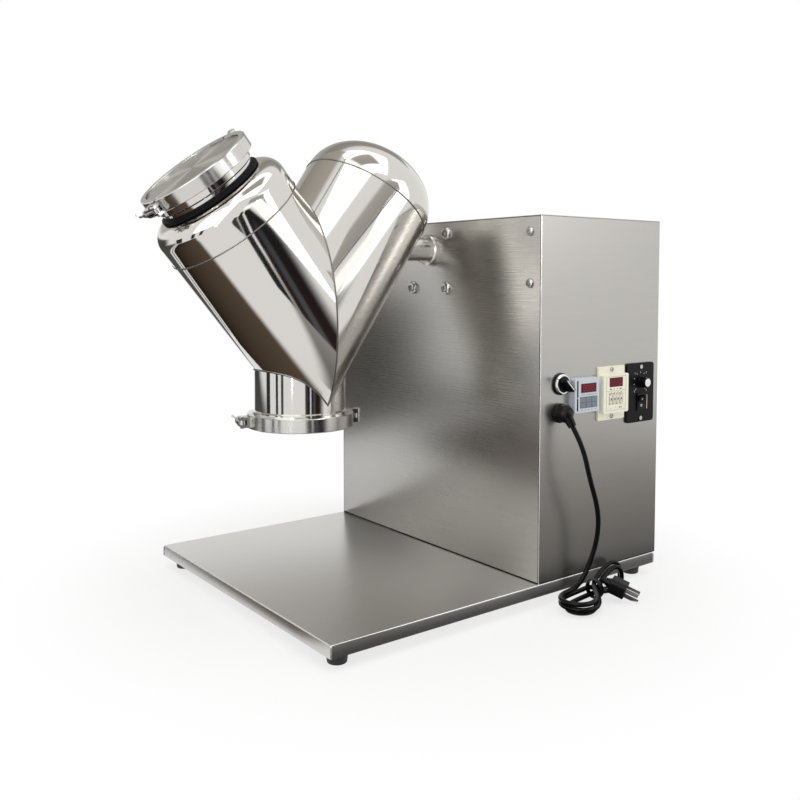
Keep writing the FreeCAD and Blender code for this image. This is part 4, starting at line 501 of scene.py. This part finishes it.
bead("outlet_weld", outlet_edge, 0.0013)

# Hub, shaft and wall ring: turned stainless steel; the hub is welded to the dome's leg and
# slides over the gear head's shaft inside the ring on the wall.
turned_steel = Finish("turned_steel", (0.62, 0.61, 0.59), 0.22, metallic=1.0)
turned_steel.feed("Roughness", turned_steel.noise(40.0, 3.0) * 0.08 + 0.15)
turned_steel.bump(turned_steel.noise(1500.0, 2.0, 0.5, (1.0, 0.02, 0.02)), 0.00003, 0.5)
for node in ("drive_hub", "shaft_seal_ring", "output_shaft"):
    dressed(node, turned_steel)

# Closures: turned neck and cover plates, held by hinged clamp rings with a swing bolt and a wing
# nut. The covers have a fine faced finish, and a star of highlight is painted into their colour.
to_filler_face = to_filler @ Matrix.Translation((0, 0, 0.249))
to_outlet_face = (Matrix.Translation((CROSSING.x, -0.004, OUTLET_FACE))
                  @ Matrix.Rotation(math.pi, 4, "X"))
neck = turned([(0.0665, -0.001), (0.0774, -0.001), (0.0774, -0.0035), (0.0732, -0.0050),
               (0.0732, -0.019), (0.0702, -0.021), (0.0702, -0.026), (0.0665, -0.026)],
              TURNED_STEPS, 0.0004)
finished("filler_neck", carried(neck, to_filler_face), polished, "barrel", ["filler_ferrule"])
# Foot of the neck: a dark matt ring, painted shade for the shadowed groove under the clamp.
foot_ring_shade = Finish("foot_ring_shade", (0.006, 0.006, 0.006), 0.6, specular=0.1)
foot_ring_shade.feed("Roughness", foot_ring_shade.noise(120.0) * 0.1 + 0.55)
ring = turned([(0.0665, -0.026), (0.0702, -0.026), (0.0757, -0.0285), (0.0757, -0.0325),
               (0.0665, -0.0325)], TURNED_STEPS, 0.0006)
finished("neck_foot", carried(ring, to_filler_face), foot_ring_shade, "barrel", ())


def faced_with_painted_star(name, centre_frame):
    """Faced steel: tool marks round the cover's own axis, and a painted star of highlight."""
    finish = Finish(name, (0.66, 0.65, 0.63), 0.24, metallic=1.0)
    inverse = centre_frame.inverted()
    spot = finish.node("ShaderNodeMapping", {"vector_type": "POINT"},
                       {"Vector": finish.place, "Location": inverse.to_translation(),
                        "Rotation": inverse.to_euler()})
    flat = finish.node("ShaderNodeVectorMath", {"operation": "MULTIPLY"}, {0: spot, 1: (1.0, 1.0, 0.0)})
    radius = finish.node("ShaderNodeVectorMath", {"operation": "LENGTH"}, {0: flat}, output=1)
    rings = finish.node("ShaderNodeMath", {"operation": "SINE"}, {0: radius * 9000.0})
    wander = finish.noise(80.0, 2.0)
    finish.bump(rings * 0.5 + wander * 0.1, 0.00005, 0.8)
    finish.feed("Roughness", wander * 0.1 + 0.2)
    # Painted highlight and shade: the base colour brightens in rays round the cover's axis, as a star.
    parts = [finish.node("ShaderNodeSeparateXYZ", {}, {0: spot}, output=axis) for axis in (0, 1)]
    around = finish.node("ShaderNodeMath", {"operation": "ARCTAN2"}, {0: parts[1], 1: parts[0]})
    rays = (finish.node("ShaderNodeMath", {"operation": "SINE"}, {0: around * 4.0 + 0.6}) * 0.5 + 0.5) ** 3.0
    painted_spokes = finish.node("ShaderNodeMath", {"operation": "SINE"}, {0: around * 22.0}) * 0.08
    finish.feed("Base Color", finish.tint(rays * 0.9 + painted_spokes, (0.50, 0.49, 0.47), (0.95, 0.94, 0.92)))
    return finish


for name, place, radius, node in (("filler_cover", to_filler_face, 0.0732, "filler_cap"),
                                  ("outlet_cover", to_outlet_face, 0.0680, "outlet_cap")):
    disc = turned([(0, 0.001), (radius + 0.0042, 0.001), (radius + 0.0042, 0.0035), (radius, 0.005),
                   (radius - 0.0008, 0.0075), (0, 0.0075)], TURNED_STEPS, 0.0003)
    finished(name, carried(disc, place), faced_with_painted_star(name + "_steel", place), "barrel", [node])
silicone = Finish("silicone", (0.70, 0.69, 0.66), 0.45)
silicone.bump(silicone.noise(500.0), 0.00005, 0.5)
dressed("clamp_gaskets", silicone)
clamp_steel = Finish("clamp_steel", (0.62, 0.61, 0.59), 0.16, metallic=1.0)
clamp_steel.feed("Roughness", clamp_steel.noise(90.0, 4.0) * 0.10 + 0.11)
clamp_steel.bump(clamp_steel.noise(600.0, 3.0), 0.00004, 0.5)
for node in ("filler_clamp_front", "filler_clamp_back", "outlet_clamp_front", "outlet_clamp_back",
             "filler_swing_bolt", "filler_wing_nut", "outlet_swing_bolt", "outlet_wing_nut"):
    dressed(node, clamp_steel)

# Selector: chromed bezel on a black plastic ring, with a black turning handle whose ridge
# carries a white line. Bezel and ring are turned; the handle is a moulding.
ON_PANEL = Matrix.Rotation(math.radians(90), 4, "X")
PANEL_FRONT = -0.249


def at_panel(piece, x, y, z, turn=0.0):
    """Stand a piece that was made on the XY plane against the panel, turned in its own plane."""
    in_plane = Matrix.Rotation(math.radians(turn), 4, "Z")
    return carried(piece, Matrix.Translation((x, y, z)) @ ON_PANEL @ in_plane)


chrome = Finish("bezel_chrome", (0.80, 0.80, 0.81), 0.08, metallic=1.0)
chrome.feed("Roughness", chrome.noise(50.0) * 0.05 + 0.05)
dressed("selector_bezel", chrome)
knob_plastic = Finish("knob_plastic", (0.003, 0.003, 0.0035), 0.3, specular=0.18)
knob_plastic.bump(knob_plastic.noise(500.0, 4.0), 0.00008, 0.5)
dressed("selector_handle", knob_plastic)
dressed("cord_gland", knob_plastic)
ring = turned([(0.0140, 0), (0.0158, 0), (0.0158, 0.0030), (0.0151, 0.0036), (0.0140, 0.0036)], 96, 0.0003)
face = turned([(0, 0.0069), (0.0118, 0.0069), (0.0118, 0.0073), (0, 0.0073)], 96, 0.0001)
finished("selector_ring", at_panel(joined([ring, face]), 0.08651, PANEL_FRONT, 0.316), knob_plastic,
         "housing", ())
white_print = Finish("white_print", (0.80, 0.80, 0.78), 0.45)
white_print.bump(white_print.noise(800.0), 0.00002, 0.4)
ridge = soft_box((-0.0098, -0.0008, -0.0003), (0.0098, 0.0008, 0.0003), 0.0001, 1)
finished("selector_line", at_panel(ridge, 0.0868, -0.2686, 0.3158, -45), white_print, "selector", ())

# Meter: a pale blue-grey case with two dark slots, a deep red window with dim digits and a
# printed keypad of six keys. The case is moulded; the window and the keypad sit in recesses.
SEGMENTS = {"0": "abcdef", "1": "bc", "2": "abged", "3": "abgcd", "8": "abcdefg"}
BARS = {"a": (0, 1, 1), "b": (0.5, 0.5, 0), "c": (0.5, -0.5, 0), "d": (0, -1, 1), "e": (-0.5, -0.5, 0),
        "f": (-0.5, 0.5, 0), "g": (0, 0, 1)}


def digits(text, x, z, y, height):
    """Segmented digits, as thin bars side by side, at one place on the panel."""
    bars = []
    for count, digit in enumerate(text):
        middle = x + (count - (len(text) - 1) / 2) * height * 0.72
        for across, up, flat in (BARS[name] for name in SEGMENTS[digit]):
            wide, tall = ((height * 0.40, height * 0.10) if flat
                          else (height * 0.10, height * 0.38))
            at = (middle + across * height * 0.5, z + up * height * 0.44)
            bars.append(soft_box((at[0] - wide / 2, y - 0.00015, at[1] - tall / 2),
                                 (at[0] + wide / 2, y + 0.00015, at[1] + tall / 2), 0.00003, 1))
    return bars


def marks(places, y, wide, tall):
    """Small flat bars of one size in front of the panel."""
    return [soft_box((x - wide / 2, y - 0.0002, z - tall / 2),
                     (x + wide / 2, y + 0.0002, z + tall / 2), 0.00005, 1) for x, z in places]


METER_FACE, KEY_FACE, KEY_PRINT = -0.2600, -0.2603, -0.2605
KEY_COLUMNS = (0.1220, 0.1341, 0.1462)
KEY_ROWS = (0.2833, 0.2915)
meter_plastic = Finish("meter_plastic", (0.56, 0.61, 0.67), 0.42)
meter_plastic.bump(meter_plastic.noise(700.0, 4.0), 0.00008, 0.5)
window_red = Finish("window_red", (0.10, 0.005, 0.011), 0.12, specular=0.2)
window_red.feed("Roughness", window_red.noise(60.0) * 0.08 + 0.08)
digit_red = Finish("digit_red", (0.26, 0.03, 0.05), 0.4, specular=0.2)
digit_red.bump(digit_red.noise(500.0), 0.00002, 0.3)
key_grey = Finish("key_grey", (0.13, 0.15, 0.19), 0.45)
key_grey.bump(key_grey.noise(700.0, 4.0), 0.00004, 0.5)
key_light = Finish("key_light", (0.20, 0.225, 0.27), 0.45)
key_light.bump(key_light.noise(700.0, 4.0), 0.00004, 0.5)
dressed("meter_case", meter_plastic)
dressed("meter_window", window_red)
finished("meter_digits", joined(digits("8888", 0.1341, 0.3081, METER_FACE, 0.0085)), digit_red,
         "housing", ())
slots = (marks([(0.1105, 0.3075)], METER_FACE, 0.0026, 0.0240)
         + marks([(0.1105, 0.2850)], METER_FACE, 0.0026, 0.0180))
finished("meter_slots", joined(slots), gap_shade, "housing", ())
pad = soft_box((0.1158, -0.2602, 0.2795), (0.1524, -0.2590, 0.2955), 0.0003, 2)
finished("meter_keypad", pad, key_grey, "housing", ())
keys = marks([(x, z) for x in KEY_COLUMNS for z in KEY_ROWS], KEY_FACE, 0.0095, 0.0062)
finished("meter_keys", joined(keys), key_light, "housing", ())
prints = marks([(0.1200 + 0.0047 * n, 0.2986) for n in range(7)]
               + [(0.1195 + 0.0073 * n, 0.2766) for n in range(5)], METER_FACE, 0.0026, 0.0008)
prints += marks([(x + 0.0012, z) for x in KEY_COLUMNS for z in KEY_ROWS], KEY_PRINT, 0.0020, 0.0014)
finished("meter_prints", joined(prints), key_grey, "housing", ())

# Timer: a cream moulding on a flange that two slotted screws hold, with a window and four
# setting wheels in their slots. Thin bars stand for its printed lines and lettering.
TIMER_FACE = -0.2610
TIMER_MIDDLE = 0.1934
timer_plastic = Finish("timer_plastic", (0.86, 0.84, 0.70), 0.4)
timer_plastic.bump(timer_plastic.noise(700.0, 4.0), 0.00008, 0.5)
wheel_plastic = Finish("wheel_plastic", (0.74, 0.73, 0.64), 0.4)
wheel_plastic.bump(wheel_plastic.noise(600.0, 4.0), 0.0001, 0.6)
fold_print = Finish("fold_print", (0.42, 0.40, 0.33), 0.5)
fold_print.bump(fold_print.noise(500.0), 0.00002, 0.4)
ink = Finish("ink", (0.02, 0.02, 0.025), 0.5)
ink.bump(ink.noise(500.0), 0.00002, 0.4)
dressed("timer_case", timer_plastic)
dressed("timer_window", window_red)
finished("timer_digits", joined(digits("0", 0.2010, 0.3123, TIMER_FACE, 0.0085)), digit_red,
         "housing", ())
frame_lines = (marks([(0.1719, 0.2960), (0.2149, 0.2960)], TIMER_FACE, 0.0005, 0.0500)
               + marks([(TIMER_MIDDLE, z) for z in (0.3208, 0.2710, 0.2995)], TIMER_FACE, 0.0430, 0.0005))
finished("timer_lines", joined(frame_lines), fold_print, "housing", ())
letters = marks([(0.1812, 0.3021), (0.2036, 0.3021)], TIMER_FACE, 0.0034, 0.0017)
letters += marks([(0.1885, 0.3021), (0.1958, 0.3021)], TIMER_FACE, 0.0022, 0.0010)
letters += marks([(0.1822 + 0.0075 * n, 0.2972) for n in range(4)]
                 + [(0.1812, 0.2740), (0.1925, 0.2752)], TIMER_FACE, 0.0018, 0.0009)
letters += marks([(0.2015, 0.2744), (0.2052, 0.2744)], TIMER_FACE, 0.0024, 0.0015)
finished("timer_letters", joined(letters), ink, "housing", ())
for index in range(4):
    wheel = "thumbwheel_%d" % (index + 1)
    dressed(wheel, wheel_plastic)
    low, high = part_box(wheel)
    strokes = marks([((low.x + high.x) / 2, 0.2876)], low.y, 0.0016, 0.0034)
    finished(wheel + "_figure", joined(strokes), ink, "wheel_%d" % (index + 1), ())
screw_slots = []
for z in (0.2605, 0.3305):
    slot_bar = soft_box((-0.0030, -0.0004, -0.0001), (0.0030, 0.0004, 0.0003), 0.00005, 1)
    screw_slots.append(at_panel(slot_bar, TIMER_MIDDLE, -0.2537, z, 60))
finished("timer_screw_slots", joined(screw_slots), gap_shade, "housing", ())

# Speed plate: black, with a printed scale round the knob, whose end has a white disc, and a
# rocker switch marked with a bar and a ring.
PLATE_PRINT = -0.2521
KNOB_X, KNOB_Z = 0.26094, 0.307
SCALE_START, SCALE_SWEEP = -135, 270
SCALE_RADIUS, FIGURE_RADIUS = 0.0152, 0.0196
plate_plastic = Finish("plate_plastic", (0.004, 0.004, 0.005), 0.34, specular=0.14)
plate_plastic.bump(plate_plastic.noise(600.0, 4.0), 0.00006, 0.5)
dressed("speed_plate", plate_plastic)
dressed("panel_modules", knob_plastic)
dressed("speed_knob", knob_plastic)
dressed("rocker_frame", knob_plastic)
dressed("rocker", knob_plastic)
scale = []
for step in range(9):
    swing = math.radians(SCALE_START + step * SCALE_SWEEP / 8)
    x, z = KNOB_X + SCALE_RADIUS * math.sin(swing), KNOB_Z + SCALE_RADIUS * math.cos(swing)
    stroke = soft_box((-0.00035, -0.0011, -0.0001), (0.00035, 0.0011, 0.0001), 0.00003, 1)
    scale.append(at_panel(stroke, x, PLATE_PRINT, z, -math.degrees(swing)))
for step, text in enumerate("0123"):
    swing = math.radians(SCALE_START + step * 90)
    scale += digits(text, KNOB_X + FIGURE_RADIUS * math.sin(swing),
                    KNOB_Z + FIGURE_RADIUS * math.cos(swing), PLATE_PRINT, 0.0030)
finished("speed_scale", joined(scale), white_print, "housing", ())
disc = turned([(0, -0.0003), (0.0062, -0.0003), (0.0062, 0.0004), (0, 0.0004)], 96, 0.0002)
finished("knob_disc", at_panel(disc, KNOB_X, -0.266, KNOB_Z), white_print, "speed", ())
strip = soft_box((0.2762, -0.2525, 0.2645), (0.2778, -0.2518, 0.2865), 0.0002, 1)
beige = Finish("beige_strip", (0.50, 0.42, 0.33), 0.4)
beige.bump(beige.noise(400.0), 0.00003, 0.4)
finished("light_strip", strip, beige, "housing", ())
rocker_place = Matrix.Translation((0.260944, -0.253, 0.2765)) @ Matrix.Rotation(math.radians(11), 4, "X")
bar = soft_box((-0.0005, -0.0018, -0.0001), (0.0005, 0.0018, 0.0001), 0.00003, 1)
circle = turned([(0.0012, -0.0001), (0.0019, -0.0001), (0.0019, 0.0001), (0.0012, 0.0001),
                 (0.0012, -0.0001)], 48)
for mark, height, slope in ((bar, 0.0050, 11.1), (circle, -0.0050, -11.1)):
    carried(mark, rocker_place @ Matrix.Translation((0, -0.00242, height))
            @ Matrix.Rotation(math.radians(slope), 4, "X") @ ON_PANEL)
finished("rocker_marks", joined([bar, circle]), white_print, "rocker_switch", ())

# Studio: a pale floor and world, three soft lamps, and the cards, dark and bright, that only
# reflections show. The polished vessel mirrors them as its streaks.
floor_paint = Finish("floor_paint", (0.86, 0.86, 0.86), 0.6)
floor_glow = floor_paint.node("ShaderNodeEmission", {}, {"Color": (1.0, 1.0, 1.0, 1.0), "Strength": 1.0})
rays = floor_paint.tree.nodes.new("ShaderNodeLightPath")
seen = Wire(floor_paint, rays.outputs["Is Camera Ray"]) + Wire(floor_paint, rays.outputs["Is Glossy Ray"])
spread = floor_paint.node("ShaderNodeVectorMath", {"operation": "LENGTH"}, {0: floor_paint.place}, output=1)
far = spread.within(0.32, 0.62) * 0.30 + 0.70
mixed = floor_paint.node("ShaderNodeMixShader", {}, {0: seen * far})
floor_paint.tree.links.new(floor_paint.shader.outputs[0], mixed.socket.node.inputs[1])
floor_paint.tree.links.new(floor_glow.socket, mixed.socket.node.inputs[2])
floor_paint.tree.links.new(mixed.socket, floor_paint.tree.nodes["Material Output"].inputs[0])
ground = bmesh.new()
bmesh.ops.create_grid(ground, x_segments=1, y_segments=1, size=12.0)
ground_mesh = bpy.data.meshes.new("floor")
ground.to_mesh(ground_mesh)
ground.free()
ground_mesh.materials.append(floor_paint.material)
floor = bpy.data.objects.new("floor", ground_mesh)
scene.collection.objects.link(floor)

world = bpy.data.worlds.new("studio")
scene.world = world
world.use_nodes = True
air = world.node_tree
backdrop = air.nodes["Background"]
backdrop.inputs["Color"].default_value = (1.0, 1.0, 1.0, 1.0)
soft = air.nodes.new("ShaderNodeBackground")
soft.inputs["Color"].default_value = (1.0, 0.99, 0.97, 1.0)
soft.inputs["Strength"].default_value = 0.60
path = air.nodes.new("ShaderNodeLightPath")
either = air.nodes.new("ShaderNodeMath")
either.operation = "MAXIMUM"
air.links.new(path.outputs["Is Camera Ray"], either.inputs[0])
air.links.new(path.outputs["Is Glossy Ray"], either.inputs[1])
choice = air.nodes.new("ShaderNodeMixShader")
air.links.new(either.outputs[0], choice.inputs[0])
air.links.new(soft.outputs[0], choice.inputs[1])
air.links.new(backdrop.outputs[0], choice.inputs[2])
air.links.new(choice.outputs[0], air.nodes["World Output"].inputs[0])


def lamp(name, place, aim, size, power):
    """Soft area lamp that looks at a point."""
    data = bpy.data.lights.new(name, "AREA")
    data.shape = "RECTANGLE"
    data.size = size
    data.size_y = size
    data.energy = power
    piece = bpy.data.objects.new(name, data)
    piece.location = place
    piece.rotation_euler = (Vector(aim) - Vector(place)).to_track_quat("-Z", "Y").to_euler()
    scene.collection.objects.link(piece)


lamp("top_light", (-0.3, -0.6, 2.4), (0, 0, 0.3), 2.2, 22)
lamp("left_light", (-2.4, -0.9, 1.4), (0, 0, 0.35), 2.4, 17)
lamp("right_light", (1.3, -2.3, 1.3), (0.1, 0, 0.3), 1.4, 9)


def card(name, start, across, up, shade, other, soft):
    """Card that only reflections show, with a second shade at its top and soft edges where
    wanted: the parts of its width and height that fade out at the start, end, foot and top."""
    start, across, up = Vector(start), Vector(across), Vector(up)
    sheet = bmesh.new()
    sheet.faces.new([sheet.verts.new(c) for c in (start, start + across, start + across + up, start + up)])
    built = bpy.data.meshes.new(name)
    sheet.to_mesh(built)
    sheet.free()
    paint = Finish(name, (0.0, 0.0, 0.0), 1.0, specular=0.0)
    offset = paint.node("ShaderNodeVectorMath", {"operation": "SUBTRACT"}, {0: paint.place, 1: start})
    along, height = (paint.node("ShaderNodeVectorMath", {"operation": "DOT_PRODUCT"},
                                {0: offset, 1: way / way.length_squared}, output=1) for way in (across, up))
    glow = paint.node("ShaderNodeEmission", {}, {"Color": paint.tint(height, shade, other or shade)})
    clear = paint.node("ShaderNodeBsdfTransparent")
    cover = None
    for wire, width in ((along, soft[0]), (1 - along, soft[1]), (height, soft[2]), (1 - height, soft[3])):
        if width:
            fade = wire.within(0.0, width)
            cover = fade * cover if cover else fade
    shown = paint.node("ShaderNodeMixShader", {}, {0: cover or 1.0, 1: clear, 2: glow})
    paint.tree.links.new(shown.socket, paint.tree.nodes["Material Output"].inputs[0])
    built.materials.append(paint.material)
    piece = bpy.data.objects.new(name, built)
    scene.collection.objects.link(piece)
    for rays_of in ("camera", "diffuse", "shadow", "transmission"):
        setattr(piece, "visible_" + rays_of, False)


# Each row: name, start, across, up, shade, shade at the top or None, soft parts.
for row in (
    ("brown_floor", (-1.5, -0.20, 0.004), (1.165, 0, 0), (0, 0.86, 0),
     (0.12, 0.088, 0.064), (0.016, 0.010, 0.006), (0, 0, 0.10, 0.02)),
    ("brown_line", (-1.5, 0.73, 0.004), (1.165, 0, 0), (0, 0.07, 0),
     (0.04, 0.03, 0.025), None, (0, 0, 0.2, 0.2)),
    ("front_black", (-0.27, -0.85, 0.0), (0.60, 0, 0), (0, 0, 0.56),
     (0.03, 0.018, 0.016), (0.012, 0.012, 0.014), (0.02, 0.5, 0, 0.06)),
    ("front_black_edge", (-0.40, -0.85, 0.0), (0.10, 0, 0), (0, 0, 0.545),
     (0.02, 0.02, 0.022), None, (0.1, 0.05, 0, 0.06)),
    ("front_lighter", (-0.22, -0.845, 0.0), (0.13, 0, 0), (0, 0, 0.50),
     (0.10, 0.10, 0.11), (0.05, 0.05, 0.06), (0.4, 0.3, 0, 0.3)),
    ("front_bright", (-0.40, -0.86, 0.57), (0.9, 0, 0), (0, 0, 0.17),
     (1.5, 1.5, 1.5), None, (0.1, 0.3, 0.15, 0.25)),
    ("front_line", (-0.30, -0.85, 0.775), (0.60, 0, 0), (0, 0, 0.022),
     (0.03, 0.03, 0.04), None, (0, 0, 0.2, 0.2)),
    ("front_grey", (-0.30, -0.85, 0.80), (0.60, 0, 0), (0, 0, 0.24),
     (0.42, 0.40, 0.37), (0.55, 0.53, 0.50), (0, 0, 0, 0.3)),
    ("over_grey", (-1.6, 0.12, 1.6), (1.3, 0, 0), (0, 1.9, 0),
     (0.52, 0.49, 0.45), (0.30, 0.28, 0.25), (0, 0, 0.1, 0)),
    ("over_line", (-1.6, 0.0, 1.6), (1.3, 0, 0), (0, 0.035, 0),
     (0.08, 0.08, 0.08), None, (0, 0, 0.2, 0.2)),
    ("ceiling", (-1.0, -0.9, 2.0), (1.3, 0, 0), (0, 0.9, 0),
     (0.40, 0.38, 0.36), (0.55, 0.53, 0.50), (0.2, 0.2, 0.2, 0.2)),
    ("back", (-1.2, 3.0, 0.9), (5.5, 0, 0), (0, 0, 3.2),
     (0.60, 0.58, 0.55), (0.30, 0.29, 0.27), (0.1, 0.1, 0.2, 0)),
    ("back_high", (-1.2, 0.9, 3.2), (5.5, 0, 0), (0, 2.1, 0),
     (0.42, 0.40, 0.37), (0.30, 0.29, 0.27), (0.1, 0.1, 0.3, 0)),
    ("stub_left", (-1.6, -0.48, 0.0), (0, 0.20, 0), (0, 0, 0.40),
     (0.04, 0.045, 0.06), None, (0.1, 0.3, 0, 0)),
    ("stub_middle", (-1.6, -0.12, 0.0), (0, 0.17, 0), (0, 0, 0.40),
     (0.02, 0.02, 0.02), None, (0.1, 0.1, 0, 0)),
    ("stub_far", (-1.6, 0.45, 0.0), (0, 0.45, 0), (0, 0, 0.40),
     (0.03, 0.03, 0.03), None, (0.1, 0.3, 0, 0)),
    ("stub_front", (-0.66, -1.3, 0.0), (0.26, 0, 0), (0, 0, 0.30),
     (0.05, 0.045, 0.04), None, (0.2, 0.4, 0, 0)),
    ("wall_far", (-3.0, 3.0, 0.0), (3.2, 0, 0), (0, 0, 0.95),
     (0.07, 0.067, 0.063), (0.10, 0.095, 0.09), (0.4, 0.1, 0, 0.3)),
    ("floor_far", (-2.4, 0.88, 0.004), (2.5, 0, 0), (0, 2.1, 0),
     (0.10, 0.095, 0.09), (0.07, 0.067, 0.063), (0.4, 0.1, 0.04, 0)),
    ("floor_front", (-0.36, -1.6, 0.004), (1.9, 0, 0), (0, 1.34, 0),
     (0.62, 0.60, 0.57), (0.15, 0.145, 0.14), (0.04, 0.2, 0.4, 0)),
    ("skirt_dark", (-0.30, -0.335, 0.005), (0.9, 0, 0), (0, 0.07, 0),
     (0.04, 0.04, 0.04), None, (0, 0.3, 0.3, 0)),
    ("strip_left", (-1.75, -1.25, 0.1), (0.05, -0.06, 0), (0, 0, 1.8),
     (18.0, 18.0, 18.0), None, (0.2, 0.2, 0, 0.3)),
):
    card(*row)
